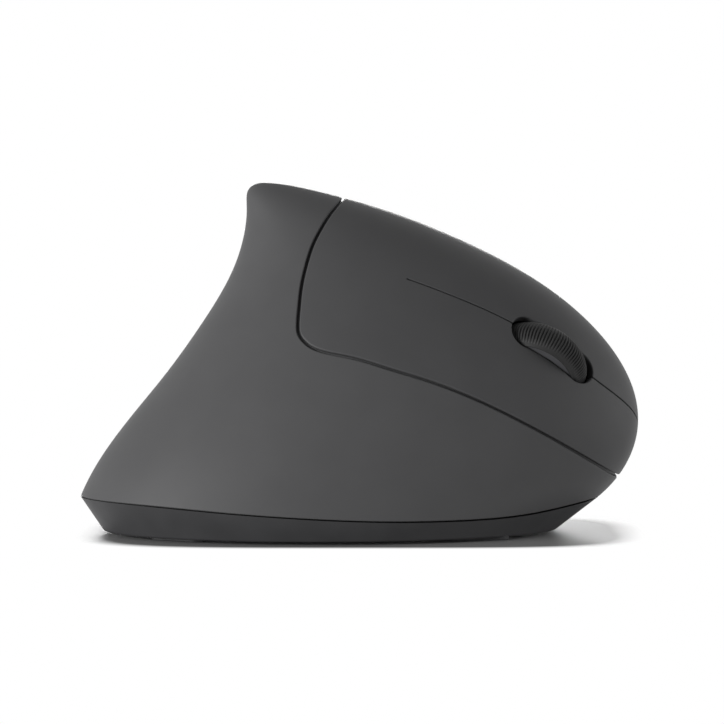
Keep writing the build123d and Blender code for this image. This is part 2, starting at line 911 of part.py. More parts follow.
keep(battery_door.part, "battery_door")

cell_places = [(bay_y + side * (cell_diameter + cell_spacing) / 2, side) for side in (-1, 1)]
cell_start = -bay_length / 2 + contact_thickness + cell_spring_space

with BuildPart() as batteries:
    for cell_y, side in cell_places:
        with BuildSketch(Plane((bay_x + side * cell_start, cell_y, cell_z), z_dir=(side, 0, 0))):
            Circle(cell_diameter / 2)
        extrude(amount=cell_length - cell_tip_length)
        with BuildSketch(Plane((bay_x + side * cell_start, cell_y, cell_z), z_dir=(side, 0, 0))):
            Circle(cell_tip_diameter / 2)
        extrude(amount=cell_length)
    rims = batteries.edges().filter_by(GeomType.CIRCLE)
    chamfer(rims.filter_by(lambda rim: rim.radius > cell_tip_diameter), cell_play)
keep(batteries.part, "batteries")

with BuildPart() as battery_contacts:
    for cell_y, side in cell_places:
        for end in (-1, 1):
            with BuildSketch(Plane((bay_x + end * bay_length / 2, cell_y, cell_z), z_dir=(-end, 0, 0))):
                RectangleRounded(contact_width, contact_width, contact_width / 8)
            extrude(amount=contact_thickness)
keep(battery_contacts.part, "battery_contacts")

with BuildPart() as battery_springs:
    for cell_y, side in cell_places:
        coil_height = cell_spring_space - contact_wire - 2 * fit_gap
        start = Vector(
            bay_x + side * (-bay_length / 2 + contact_thickness + contact_wire / 2 + fit_gap), cell_y, cell_z
        )
        coil = Helix(
            coil_height / contact_turns,
            coil_height,
            contact_coil_radius,
            center=start,
            direction=(side, 0, 0),
            mode=Mode.PRIVATE,
        )
        with BuildSketch(Plane(coil @ 0, z_dir=coil % 0)):
            Circle(contact_wire / 2)
        sweep(path=coil)
keep(battery_springs.part, "battery_springs")

receiver_bottom = foot_height + receiver_recess
plug_bottom = receiver_bottom + receiver_cap_height

with BuildPart() as receiver_cap:
    with BuildSketch(Plane.XY.offset(receiver_bottom)):
        with Locations((receiver_x, receiver_y)):
            RectangleRounded(receiver_cap_length, receiver_cap_width, receiver_cap_width / 4)
    extrude(amount=receiver_cap_height)
    chamfer(receiver_cap.faces().sort_by(Axis.Z)[0].edges(), foot_recess)
keep(receiver_cap.part, "receiver_cap")

with BuildPart() as receiver_plug:
    with BuildSketch(Plane.XY.offset(plug_bottom)):
        with Locations((receiver_x, receiver_y)):
            Rectangle(plug_length, plug_width)
    extrude(amount=plug_height)
    with BuildSketch(Plane.XY.offset(plug_bottom + plug_wall)):
        with Locations((receiver_x, receiver_y)):
            Rectangle(plug_length - 2 * plug_wall, plug_width - 2 * plug_wall)
    extrude(amount=plug_height, mode=Mode.SUBTRACT)
    with BuildSketch(Plane.XY.offset(plug_bottom)):
        with Locations((receiver_x, receiver_y - plug_width / 2 + plug_wall)):
            Rectangle(plug_length - 2 * plug_wall, plug_tongue, align=(Align.CENTER, Align.MIN))
    extrude(amount=plug_height - plug_wall)
keep(receiver_plug.part, "receiver_plug")


def screws(places, bottom, shank, head, head_height, shank_length):
    """Pan-head screws that point up from below."""
    with BuildPart() as group:
        with BuildSketch(Plane.XY.offset(bottom)):
            with Locations(*places):
                Circle(head / 2)
        extrude(amount=head_height)
        with BuildSketch(Plane.XY.offset(bottom)):
            with Locations(*places):
                Circle(shank / 2)
        extrude(amount=head_height + shank_length)
        with BuildSketch(Plane.XY.offset(bottom)):
            with Locations(*places):
                Rectangle(head * 0.6, head / 8)
                Rectangle(head / 8, head * 0.6)
        extrude(amount=head_height / 2, mode=Mode.SUBTRACT)
    return group.part


case_screws = screws(
    [place(share) for share in case_screw_shares],
    foot_height + screw_recess - screw_head_height,
    screw_diameter,
    screw_head_diameter,
    screw_head_height,
    screw_length,
)
keep(case_screws, "case_screws")

frame_screws = screws(
    [place(share) for share in leg_shares],
    foot_height + fit_gap,
    screw_diameter,
    screw_head_diameter,
    screw_head_height,
    screw_length,
)
keep(frame_screws, "frame_screws")

# The buttons on the thumb side: caps that stand a little proud, with stems down to their switches.
proud_form = body_form(-side_button_rise)
tact_top = side_board_face + tact_height
stem_start = tact_top + tact_plunger_rise


def side_button(outline, stem_place):
    with BuildPart() as button:
        extrude(outline, amount=-width)
        add(proud_form, mode=Mode.INTERSECT)
        add(inner_form, mode=Mode.SUBTRACT)
        add(side_stem(stem_place))
    return button.part


def side_stem(stem_place):
    with BuildPart() as stem:
        extrude(circles(Plane.XZ.offset(-stem_start), [stem_place], side_stem_radius), amount=-width)
        add(middle_form, mode=Mode.INTERSECT)
    return stem.part


def slot_outline(center):
    with BuildSketch(side_plane) as outline:
        with Locations(center):
            SlotOverall(side_button_length, side_button_width, rotation=side_row_angle)
    return outline.sketch


keep(side_button(slot_outline(side_places[0]), side_places[0]), "back_button")
keep(side_button(slot_outline(side_places[1]), side_places[1]), "forward_button")
dpi_place = side_point(dpi_share)
keep(side_button(circles(side_plane, [dpi_place], dpi_radius), dpi_place), "dpi_button")

tact_places = [("back", side_places[0]), ("forward", side_places[1]), ("dpi", dpi_place)]
for name, tact_place in tact_places:
    with BuildPart() as tact_plunger:
        plunger_start = Plane.XZ.offset(-(stem_start - tact_plunger_height))
        extrude(circles(plunger_start, [tact_place], tact_plunger_radius), amount=-tact_plunger_height)
    keep(tact_plunger.part, name + "_plunger")

with BuildPart() as side_switches:
    for name, tact_place in tact_places:
        body = rectangles(side_board_plane, [tact_place], tact_size, tact_size, side_row_angle)
        extrude(body, amount=-tact_height)
    pockets = circles(
        Plane.XZ.offset(-tact_top), [spot for name, spot in tact_places], tact_plunger_radius + plunger_play
    )
    extrude(pockets, amount=tact_pocket, mode=Mode.SUBTRACT)
keep(side_switches.part, "side_switches")

side_screw_places = [side_point(share) for share in side_post_shares]

with BuildPart() as side_board:
    center = side_point(side_board_share)
    extrude(
        rectangles(side_board_plane, [center], side_board_length, side_board_width, side_row_angle),
        amount=board_thickness,
    )
    extrude(
        circles(side_board_plane, side_screw_places, board_screw_diameter / 2 + screw_clearance),
        amount=board_thickness,
        mode=Mode.SUBTRACT,
    )
keep(side_board.part, "side_board")


def board_screws(plane, places, shank_length):
    """Small screws whose heads sit on a plane and whose shanks run against its normal."""
    with BuildPart() as group:
        extrude(circles(plane, places, board_screw_head / 2), amount=board_screw_head_height)
        extrude(circles(plane, places, board_screw_diameter / 2), amount=-shank_length)
        top = plane.offset(board_screw_head_height)
        slots = rectangles(top, places, board_screw_head * 0.6, board_screw_head / 8)
        extrude(slots, amount=-board_screw_head_height / 2, mode=Mode.SUBTRACT)
        slots = rectangles(top, places, board_screw_head / 8, board_screw_head * 0.6)
        extrude(slots, amount=-board_screw_head_height / 2, mode=Mode.SUBTRACT)
    return group.part


side_screws = board_screws(
    Plane.XZ.offset(-(side_board_face - board_thickness)),
    side_screw_places,
    board_thickness + side_screw_length,
)
keep(side_screws, "side_board_screws")

# The main board and its parts.
standoffs = [place(share) for share in standoff_shares]

with BuildPart() as main_board:
    with BuildSketch(Plane.XY.offset(main_board_height)):
        with BuildLine():
            Polyline(*[place(share) for share in main_board_shares], close=True)
        make_face()
    extrude(amount=board_thickness)
    floor_plane = Plane.XY.offset(main_board_height)
    legs = [place(share) for share in leg_shares]
    leg_holes = circles(floor_plane, legs, leg_diameter / 2 + fit_gap)
    extrude(leg_holes, amount=board_thickness, mode=Mode.SUBTRACT)
    extrude(
        circles(floor_plane, standoffs, board_screw_diameter / 2 + screw_clearance),
        amount=board_thickness,
        mode=Mode.SUBTRACT,
    )
    extrude(
        rectangles(floor_plane, [place(sensor_share)], sensor_length, sensor_width),
        amount=board_thickness,
        mode=Mode.SUBTRACT,
    )
keep(main_board.part, "main_board")
keep(board_screws(Plane.XY.offset(main_board_top), standoffs, board_screw_length), "board_screws")

# The optical sensor looks down through its lens.
with BuildPart() as sensor_lens:
    lens_plane = Plane.XY.offset(floor_top)
    extrude(rectangles(lens_plane, [place(sensor_share)], lens_length, lens_width), amount=lens_thickness)
    barrel = circles(lens_plane.offset(-floor_wall / 2), [place(sensor_share)], lens_barrel_diameter / 2)
    extrude(barrel, amount=main_board_top - floor_top + floor_wall / 2 - fit_gap)
    fillet(sensor_lens.edges().group_by(Axis.Z)[0], lens_rim)
keep(sensor_lens.part, "sensor_lens")

with BuildPart() as sensor_chip:
    chip_plane = Plane.XY.offset(main_board_top)
    extrude(
        rectangles(
            chip_plane, [place(sensor_share)], sensor_length + 2 * lens_rim, sensor_width + 2 * lens_rim
        ),
        amount=sensor_height,
    )
    chamfer(sensor_chip.faces().sort_by(Axis.Z)[-1].edges(), lens_rim / 2)
keep(sensor_chip.part, "sensor_chip")

with BuildPart() as radio_chip:
    extrude(rectangles(chip_plane, [place(chip_share)], chip_size, chip_size), amount=chip_height)
    chamfer(radio_chip.faces().sort_by(Axis.Z)[-1].edges(), chip_height / 8)
keep(radio_chip.part, "radio_chip")

with BuildPart() as crystal:
    extrude(rectangles(chip_plane, [place(crystal_share)], crystal_length, crystal_width), amount=chip_height)
    fillet(crystal.edges().filter_by(Axis.Z), crystal_width / 3)
keep(crystal.part, "crystal")

with BuildPart() as capacitor:
    extrude(circles(chip_plane, [place(capacitor_share)], capacitor_diameter / 2), amount=capacitor_height)
    fillet(capacitor.faces().sort_by(Axis.Z)[-1].edges(), capacitor_diameter / 12)
keep(capacitor.part, "capacitor")

with BuildPart() as cable_sockets:
    sockets = [place(button_socket_share), place(side_socket_share)]
    extrude(rectangles(chip_plane, sockets, socket_length, socket_width), amount=socket_height)
    opening = rectangles(
        chip_plane.offset(socket_height), sockets, socket_length - socket_width / 2, socket_width / 2
    )
    extrude(opening, amount=-socket_height / 2, mode=Mode.SUBTRACT)
keep(cable_sockets.part, "cable_sockets")

# The power switch and its knob.
knob_top = floor_top + fit_gap + knob_flange_height

with BuildPart() as power_knob:
    extrude(
        rectangles(Plane.XY.offset(foot_height + knob_recess), [place(power_share)], knob_width, knob_length),
        amount=floor_wall - knob_recess + fit_gap,
    )
    extrude(
        rectangles(
            Plane.XY.offset(floor_top + fit_gap), [place(power_share)], knob_flange_width, knob_flange_length
        ),
        amount=knob_flange_height,
    )
    extrude(circles(Plane.XY.offset(knob_top), [place(power_share)], knob_stem / 2), amount=knob_reach)
keep(power_knob.part, "power_knob")

with BuildPart() as power_switch:
    switch_plane = Plane.XY.offset(main_board_height)
    extrude(
        rectangles(switch_plane, [place(power_share)], power_body_width, power_body_length),
        amount=-power_body_height,
    )
    slot = rectangles(
        switch_plane.offset(-power_body_height),
        [place(power_share)],
        knob_stem + 2 * fit_gap,
        knob_stem + power_travel + 2 * fit_gap,
    )
    extrude(slot, amount=knob_reach + fit_gap, mode=Mode.SUBTRACT)
keep(power_switch.part, "power_switch")

# The inner frame: a plate in the wheel's plane on three legs, with two ears for the carrier.
pivot_x = -carrier_inner - carrier_bar / 2
pivot_z = -carrier_top_depth - carrier_height / 2
ear_y = carrier_half_width + ear_gap + ear_thickness / 2
board_rear = -switch_length / 2 + switch_x - fit_gap
frame_rear = pivot_x - ear_width / 2
frame_corner = button_board_half - frame_edge - ear_y - ear_thickness / 2
button_screw_holes = [(x * length, y * length) for x, y in button_screw_shares]


def board_shape(plane, inset, rear, corner, foot):
    """Outline of the button board, or of the frame's plate under it."""
    half = button_board_half - inset
    front = button_board_front - inset
    with BuildSketch(plane) as outline:
        with BuildLine():
            Polyline(
                (rear, half - corner),
                (rear + corner, half),
                (button_board_nose, half),
                (button_board_nose + button_board_taper, half - button_board_taper),
                (front, half - button_board_taper),
                (front, -foot),
                (rear, -foot),
                close=True,
            )
        make_face()
    return outline.sketch


def wheel_opening(plane, grow):
    chord = math.sqrt(wheel_radius**2 - (board_depth - wheel_depth) ** 2)
    with BuildSketch(plane) as outline:
        Rectangle(2 * (chord + slot_play) + grow, tyre_width + 2 * slot_play + grow)
    return outline.sketch


plate_plane = wheel_plane.offset(-board_depth - board_thickness)
pivot_plane = Plane(
    wheel_plane.from_local_coords(Vector(pivot_x, 0, pivot_z)),
    x_dir=wheel_plane.x_dir,
    z_dir=wheel_plane.y_dir,
)
axle_plane = Plane(
    wheel_plane.from_local_coords(Vector(0, 0, -wheel_depth)),
    x_dir=wheel_plane.x_dir,
    z_dir=wheel_plane.y_dir,
)

with BuildPart() as inner_frame:
    extrude(circles(Plane.XY.offset(floor_top + leg_seat_height), legs, leg_diameter / 2), amount=height / 2)
    extrude(
        rectangles(plate_plane.offset(-frame_thickness / 2), [(0, 0)], length, length),
        amount=length,
        mode=Mode.SUBTRACT,
    )
    plate_shape = board_shape(plate_plane, frame_edge, frame_rear, frame_corner, frame_foot_reach)
    extrude(plate_shape, amount=-frame_thickness)
    ears = rectangles(
        plate_plane.offset(-frame_thickness),
        [(pivot_x, ear_y), (pivot_x, -ear_y)],
        ear_width,
        ear_thickness,
    )
    extrude(ears, amount=pivot_z + ear_rise + board_depth + board_thickness + frame_thickness)
    extrude(
        circles(plate_plane, button_screw_holes, board_screw_head / 2),
        amount=-frame_thickness - board_screw_length / 2,
    )
    extrude(wheel_opening(plate_plane, frame_edge), amount=-frame_thickness, mode=Mode.SUBTRACT)
    pin_hole = circles(pivot_plane, [(0, 0)], pivot_pin_radius + pilot_clearance)
    extrude(pin_hole, amount=width, both=True, mode=Mode.SUBTRACT)
    extrude(
        circles(plate_plane, button_screw_holes, board_screw_diameter / 2 + pilot_clearance),
        amount=-button_screw_length,
        mode=Mode.SUBTRACT,
    )
    extrude(
        circles(Plane.XY.offset(floor_top + leg_seat_height), legs, screw_diameter / 2 + pilot_clearance),
        amount=screw_length,
        mode=Mode.SUBTRACT,
    )
keep(inner_frame.part, "inner_frame")

board_top = wheel_plane.offset(-board_depth)

with BuildPart() as button_board:
    extrude(board_shape(board_top, 0, board_rear, plunger_play, button_board_half), amount=-board_thickness)
    tail = rectangles(board_top, [(board_rear, 0)], 2 * (board_rear - frame_rear), 2 * carrier_half_width)
    extrude(tail, amount=-board_thickness)
    extrude(wheel_opening(board_top, 0), amount=-board_thickness, mode=Mode.SUBTRACT)
    extrude(
        circles(board_top, button_screw_holes, board_screw_diameter / 2 + screw_clearance),
        amount=-board_thickness,
        mode=Mode.SUBTRACT,
    )
keep(button_board.part, "button_board")
button_screws = board_screws(board_top, button_screw_holes, board_thickness + button_screw_length - fit_gap)
keep(button_screws, "button_board_screws")

for name, side in (("left", 1), ("right", -1)):
    with BuildPart() as click_switch:
        extrude(
            rectangles(board_top, [(switch_x, side * switch_y)], switch_length, switch_width),
            amount=switch_height,
        )
        chamfer(click_switch.edges().filter_by(wheel_axis), plunger_play * 2)
        pocket = rectangles(
            board_top.offset(switch_height),
            [(switch_x + plunger_offset, side * switch_y)],
            plunger_length + 2 * plunger_play,
            plunger_width + 2 * plunger_play,
        )
        extrude(pocket, amount=-switch_pocket, mode=Mode.SUBTRACT)
    keep(click_switch.part, name + "_switch")
    with BuildPart() as plunger:
        extrude(
            rectangles(
                board_top.offset(switch_height + plunger_rise),
                [(switch_x + plunger_offset, side * switch_y)],
                plunger_length,
                plunger_width,
            ),
            amount=-plunger_height,
        )
    keep(plunger.part, name + "_plunger")

# The wheel: a ribbed rubber tyre on a hub with a slotted drum for the light gates.
with BuildPart() as wheel_tyre:
    with BuildSketch(axle_plane):
        Circle(wheel_radius)
        with PolarLocations(wheel_radius, tyre_ribs):
            Rectangle(2 * rib_groove_depth, rib_groove_width, mode=Mode.SUBTRACT)
    extrude(amount=tyre_width / 2, both=True)
    with BuildSketch(Plane(axle_plane.origin, x_dir=axle_plane.x_dir, z_dir=-wheel_plane.z_dir)):
        with BuildLine():
            crown = ThreePointArc(
                (wheel_radius - tyre_crown, -tyre_width / 2),
                (wheel_radius, 0),
                (wheel_radius - tyre_crown, tyre_width / 2),
            )
            Polyline(crown @ 1, (hub_radius, tyre_width / 2), (hub_radius, -tyre_width / 2), crown @ 0)
        make_face()
    revolve(axis=Axis(axle_plane.origin, axle_plane.z_dir), mode=Mode.INTERSECT)
keep(wheel_tyre.part, "wheel_tyre")

with BuildPart() as wheel_hub:
    extrude(circles(axle_plane, [(0, 0)], hub_radius), amount=hub_width / 2, both=True)
    for side in (1, -1):
        hollow = axle_plane.offset(side * hub_web / 2)
        extrude(circles(hollow, [(0, 0)], hub_radius - hub_rim), amount=side * hub_width, mode=Mode.SUBTRACT)
    drum_plane = axle_plane.offset(hub_web / 2)
    extrude(circles(drum_plane, [(0, 0)], drum_radius), amount=hub_width / 2 - hub_web / 2 + drum_width)
    extrude(
        circles(drum_plane, [(0, 0)], drum_radius - drum_wall),
        amount=hub_width + drum_width,
        mode=Mode.SUBTRACT,
    )
    with BuildSketch(axle_plane.offset(hub_width / 2)):
        with PolarLocations(drum_radius, drum_slots):
            Rectangle(4 * drum_wall, drum_slot_width)
    extrude(amount=drum_width, mode=Mode.SUBTRACT)
    extrude(circles(axle_plane, [(0, 0)], drum_radius - drum_wall / 2), amount=hub_width / 2, both=True)
    extrude(circles(axle_plane, [(0, 0)], axle_radius), amount=carrier_half_width, both=True)
keep(wheel_hub.part, "wheel_hub")

with BuildPart() as wheel_carrier:
    carrier_plane = wheel_plane.offset(-carrier_top_depth)
    carrier_outer = carrier_inner + carrier_bar
    carrier_shape = rectangles(carrier_plane, [(0, 0)], 2 * carrier_outer, 2 * carrier_half_width)
    extrude(carrier_shape, amount=-carrier_height)
    extrude(
        circles(axle_plane, [(0, 0)], carrier_boss_radius), amount=carrier_half_width, both=True
    )
    opening_width = 2 * (carrier_half_width - carrier_wall)
    extrude(
        rectangles(carrier_plane.offset(carrier_height), [(0, 0)], 2 * carrier_inner, opening_width),
        amount=-3 * carrier_height,
        mode=Mode.SUBTRACT,
    )
    extrude(
        circles(axle_plane, [(0, 0)], axle_radius + running_clearance),
        amount=width,
        both=True,
        mode=Mode.SUBTRACT,
    )
    extrude(
        circles(pivot_plane, [(0, 0)], pivot_pin_radius + running_clearance),
        amount=width,
        both=True,
        mode=Mode.SUBTRACT,
    )
keep(wheel_carrier.part, "wheel_carrier")

with BuildPart() as carrier_pin:
    extrude(
        circles(pivot_plane, [(0, 0)], pivot_pin_radius),
        amount=ear_y + ear_thickness / 2 + fit_gap,
        both=True,
    )
    chamfer(carrier_pin.edges(), pivot_pin_radius / 5)
keep(carrier_pin.part, "carrier_pin")

wheel_switch_place = [(carrier_inner + carrier_bar / 2, 0)]

with BuildPart() as wheel_switch:
    extrude(
        rectangles(board_top, wheel_switch_place, wheel_switch_size, wheel_switch_size),
        amount=wheel_switch_height,
    )
    pocket = circles(
        board_top.offset(wheel_switch_height), wheel_switch_place, wheel_plunger_radius + plunger_play
    )
    extrude(pocket, amount=-wheel_switch_pocket, mode=Mode.SUBTRACT)
keep(wheel_switch.part, "wheel_switch")

with BuildPart() as wheel_plunger:
    carrier_bottom = wheel_plane.offset(-carrier_top_depth - carrier_height)
    depth = board_depth - carrier_top_depth - carrier_height
    extrude(
        circles(carrier_bottom, wheel_switch_place, wheel_plunger_radius),
        amount=-(depth - wheel_switch_height + wheel_plunger_play),
    )
keep(wheel_plunger.part, "wheel_plunger")

gate_y = (hub_width + drum_width) / 2
for name, side in (("encoder_emitter", 1), ("encoder_detector", -1)):
    with BuildPart() as gate:
        extrude(
            rectangles(board_top, [(side * detector_place, gate_y)], detector_size, detector_size),
            amount=detector_height,
        )
        chamfer(gate.edges().filter_by(wheel_axis), detector_size / 8)
    keep(gate.part, name)
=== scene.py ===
import json
import math

import bpy
import numpy as np
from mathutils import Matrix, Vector, geometry, kdtree


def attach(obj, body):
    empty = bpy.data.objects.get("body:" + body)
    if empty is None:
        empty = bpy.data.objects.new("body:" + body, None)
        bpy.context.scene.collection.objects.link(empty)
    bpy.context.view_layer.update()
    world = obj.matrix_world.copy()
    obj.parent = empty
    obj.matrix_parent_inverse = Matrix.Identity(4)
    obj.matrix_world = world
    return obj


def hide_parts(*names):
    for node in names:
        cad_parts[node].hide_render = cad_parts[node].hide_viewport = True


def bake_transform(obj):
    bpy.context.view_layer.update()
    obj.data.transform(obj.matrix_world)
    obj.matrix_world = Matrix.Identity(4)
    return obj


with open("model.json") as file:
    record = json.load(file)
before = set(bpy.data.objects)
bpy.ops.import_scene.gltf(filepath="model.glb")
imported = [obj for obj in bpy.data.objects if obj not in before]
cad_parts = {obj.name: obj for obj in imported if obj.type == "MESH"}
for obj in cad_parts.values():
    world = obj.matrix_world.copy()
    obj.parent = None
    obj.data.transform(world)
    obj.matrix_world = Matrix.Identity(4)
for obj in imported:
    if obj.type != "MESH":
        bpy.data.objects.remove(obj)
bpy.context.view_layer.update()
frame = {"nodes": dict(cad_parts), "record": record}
record = frame["record"]
mm = 0.001

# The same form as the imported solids, in millimetres: +X to the nose, +Y to the thumb side, +Z up.
length = 120.0
width = 62.8
height = 74.8
wall = 2.0
key_wall = 1.5
cap_wall = 1.2
seam_gap = 0.3
panel_gap = 0.6
split_gap = 0.35
side_button_rise = 0.8
side_button_gap = 0.3
slot_length = 20.8
slot_width = 7.8
wheel_depth = 7.3
wheel_radius = 11.0
tyre_width = 7.0
tyre_crown = 1.8
tyre_edge_radius = 0.35
tyre_ribs = 98
rib_depth = 0.32
tyre_inner_radius = 8.8
tongue_depth = 0.8
tongue_thickness = 0.8
tongue_reach = 1.6
tongue_clearance = 0.1

# Each level of the form: its share of the height, the rear and front ends as shares of the length,
# then both ends, the finger side and the thumb side across, as shares of the width.
level_shares = [
    (0.0, -0.5208, 0.3375, -0.048, 0.032, -0.508, 0.543),
    (0.107, -0.4992, 0.4325, -0.040, 0.064, -0.494, 0.470),
    (0.214, -0.4642, 0.4850, -0.029, 0.096, -0.468, 0.356),
    (0.321, -0.4158, 0.5000, -0.014, 0.119, -0.433, 0.283),
    (0.441, -0.3550, 0.4825, 0.008, 0.135, -0.381, 0.240),
    (0.575, -0.2942, 0.4250, 0.038, 0.148, -0.307, 0.226),
    (0.722, -0.2383, 0.3133, 0.080, 0.156, -0.205, 0.237),
    (0.842, -0.2117, 0.1708, 0.110, 0.154, -0.102, 0.252),
    (0.922, -0.2058, 0.0420, 0.123, 0.146, -0.016, 0.244),
    (0.976, -0.2042, -0.0790, 0.127, 0.135, 0.064, 0.201),
    (1.0, -0.1767, -0.1767, 0.127, 0.127, 0.127, 0.127),
]
thumb_fullness_share = 0.36
# Lines seen from the side, as shares of the length and the height.
seam_shares = [
    (-0.53, 0.108),
    (-0.367, 0.104),
    (-0.233, 0.091),
    (-0.1, 0.078),
    (0.033, 0.068),
    (0.167, 0.065),
    (0.3, 0.074),
    (0.383, 0.092),
    (0.48, 0.107),
]
panel_edge_shares = [
    (0.0, 1.06),
    (-0.026, 0.963),
    (-0.050, 0.915),
    (-0.068, 0.870),
    (-0.082, 0.826),
    (-0.093, 0.773),
    (-0.102, 0.708),
    (-0.106, 0.646),
    (-0.1075, 0.604),
    (-0.1058, 0.5815),
    (-0.0975, 0.5625),
    (-0.0855, 0.5475),
    (-0.070, 0.5375),
    (-0.0175, 0.520),
    (0.048, 0.490),
    (0.115, 0.457),
    (0.194, 0.408),
    (0.274, 0.345),
    (0.357, 0.269),
    (0.45, 0.174),
    (0.56, 0.06),
]
thumb_edge_shares = [
    (0.375, 0.04),
    (0.4125, 0.154),
    (0.444, 0.235),
    (0.454, 0.321),
    (0.440, 0.415),
    (0.392, 0.526),
    (0.288, 0.661),
    (0.151, 0.775),
    (0.028, 0.853),
    (-0.067, 0.896),
    (-0.133, 0.889),
    (-0.171, 0.829),
    (-0.200, 0.709),
    (-0.254, 0.561),
    (-0.317, 0.415),
    (-0.375, 0.281),
    (-0.425, 0.160),
    (-0.447, 0.04),
]
wheel_place_share = (0.34, 0.533)
wheel_front_share = (0.404, 0.456)
wheel_rear_share = (0.273, 0.600)
# The split between the keys, along and across the wheel's plane, as shares of the length.
split_shares = [
    (-0.2825, -0.009),
    (-0.1875, -0.005),
    (-0.082, 0.0),
    (0.082, 0.0),
    (0.143, 0.011),
    (0.202, 0.032),
    (0.283, 0.071),
]
# The buttons on the thumb side.
side_row_angle = math.radians(-16.2)
back_share = (-0.067, 0.775)
forward_share = (0.0875, 0.703)
dpi_share = (0.192, 0.655)
side_button_length = 16.0
side_button_width = 6.6
dpi_radius = 3.2
dpi_flat = 0.01

# Rounding of the visible edges, and the spacing of the surface points.
edge_radius = 0.32
split_radius = 0.1
seam_radius = 0.25
cap_radius = 0.5
point_spacing = 0.9
edge_spacing = 0.6
ring_count = 4

# How finely the curves on the form are sampled and solved.
map_step = 1e-4
panel_samples = 9000
thumb_samples = 3000
seam_samples = 4000
seam_rounds = 12
ring_samples = 1200
arc_samples = 24
view_rounds = 60
largest_move = 0.05
trace_rounds = 400
trace_margin = 3
# A cover's open ends run on below the foot: these are distances from the map's centre.
beyond_foot = 1.25
corner_beyond_foot = 1.6


def smooth_curve(points):
    """A natural cubic curve through pairs of a place and a value, for arrays."""
    places = np.array([p[0] for p in points], float)
    values = np.array([p[1] for p in points], float)
    count = len(places)
    steps = np.diff(places)
    system = np.zeros((count, count))
    right = np.zeros(count)
    system[0, 0] = 1
    system[-1, -1] = 1
    for i in range(1, count - 1):
        system[i, i - 1 : i + 2] = steps[i - 1], 2 * (steps[i - 1] + steps[i]), steps[i]
        right[i] = 6 * ((values[i + 1] - values[i]) / steps[i] - (values[i] - values[i - 1]) / steps[i - 1])
    bends = np.linalg.solve(system, right)

    def value_at(place):
        place = np.asarray(place, float)
        i = np.clip(np.searchsorted(places, place) - 1, 0, count - 2)
        before = places[i + 1] - place
        after = place - places[i]
        cubic = (bends[i] * before**3 + bends[i + 1] * after**3) / (6 * steps[i])
        low = values[i] / steps[i] - bends[i] * steps[i] / 6
        high = values[i + 1] / steps[i] - bends[i + 1] * steps[i] / 6
        return cubic + low * before + high * after

    return value_at


def rise_of(share):
    """How far a height share is from the foot towards the crown on the map."""
    return 1 - np.sqrt(np.clip(1 - np.asarray(share, float), 0, None))


form_curves = [smooth_curve([(float(rise_of(row[0])), row[c]) for row in level_shares]) for c in range(1, 7)]
seam_curve = smooth_curve(seam_shares)
split_curve = smooth_curve(split_shares)


def level(rise):
    """The form's outline at a level: its middle, reach, spine, skew and both sides, in millimetres."""
    rear, front, rear_side, front_side, finger, thumb = [curve(rise) for curve in form_curves]
    middle = (rear + front) / 2 * length
    reach = (front - rear) / 2 * length
    spine = (rear_side + front_side) / 2 * width
    skew = (front_side - rear_side) / 2 * width
    return middle, reach, spine, skew, finger * width, thumb * width


# Every place on the form is a point of a flat map: its distance from the map's centre is 0 at the
# crown and 1 at the foot, and its angle is the turn around the form, with the nose at 0 and the
# finger side at a quarter turn.


def surface(places):
    """The points of the form at some map places."""
    places = np.asarray(places, float)
    out = np.hypot(places[:, 0], places[:, 1])
    turn = np.arctan2(places[:, 1], places[:, 0])
    middle, reach, spine, skew, finger, thumb = level(1 - out)
    along, across = np.cos(turn), np.sin(turn)
    full = np.sqrt(np.clip(1 - np.abs(across) ** (1 / thumb_fullness_share), 0, None)) * np.sign(along)
    along = np.where(across >= 0, along, full)
    side = np.where(across >= 0, (finger - spine) * across, (thumb - spine) * -across)
    return np.stack([middle + reach * along, spine + skew * along + side, height * (1 - out * out)], axis=1)


def slopes(places):
    """How the surface moves with each of the map's two directions."""
    places = np.asarray(places, float)
    first = (surface(places + [map_step, 0]) - surface(places - [map_step, 0])) / (2 * map_step)
    second = (surface(places + [0, map_step]) - surface(places - [0, map_step])) / (2 * map_step)
    return first, second


def normals_at(places):
    """The outward normals of the form at some map places."""
    first, second = slopes(places)
    normal = np.cross(second, first)
    return normal / np.linalg.norm(normal, axis=1)[:, None]


def map_moves(places, moves):
    """The steps on the map that move the surface points by some small steps in space."""
    first, second = slopes(places)
    a = (first * first).sum(1)
    b = (first * second).sum(1)
    c = (second * second).sum(1)
    p = (first * moves).sum(1)
    q = (second * moves).sum(1)
    det = a * c - b * b
    return np.stack([(c * p - b * q) / det, (a * q - b * p) / det], axis=1)


def side_places(points, side):
    """Map places of points seen from the side, on the finger side (1) or the thumb side (-1)."""
    points = np.asarray(points, float)
    out = np.sqrt(np.clip(1 - points[:, 1] / height, 0, None))
    middle, reach = level(1 - out)[:2]
    along = np.clip((points[:, 0] - middle) / reach, -1, 1)
    across = np.sqrt(1 - along * along)
    if side < 0:
        across = across ** (2 * thumb_fullness_share)
        along = np.sign(along) * np.sqrt(np.clip(1 - across * across, 0, None))
    return np.stack([out * along, side * out * across], axis=1)


def in_silhouette(points):
    """Which points of the side view lie on the form."""
    share = points[:, 1] / height
    out = np.sqrt(np.clip(1 - share, 0, None))
    middle, reach = level(1 - out)[:2]
    return (share < 1) & (share > 0) & (np.abs(points[:, 0] - middle) < reach)


def side_spline(shares, count):
    """Points of the smooth curve through side-view shares."""
    points = np.array([(x * length, z * height) for x, z in shares])
    run = np.concatenate([[0], np.cumsum(np.linalg.norm(np.diff(points, axis=0), axis=1))])
    at = np.linspace(0, run[-1], count)
    x = smooth_curve(list(zip(run, points[:, 0])))(at)
    z = smooth_curve(list(zip(run, points[:, 1])))(at)
    return np.stack([x, z], axis=1)


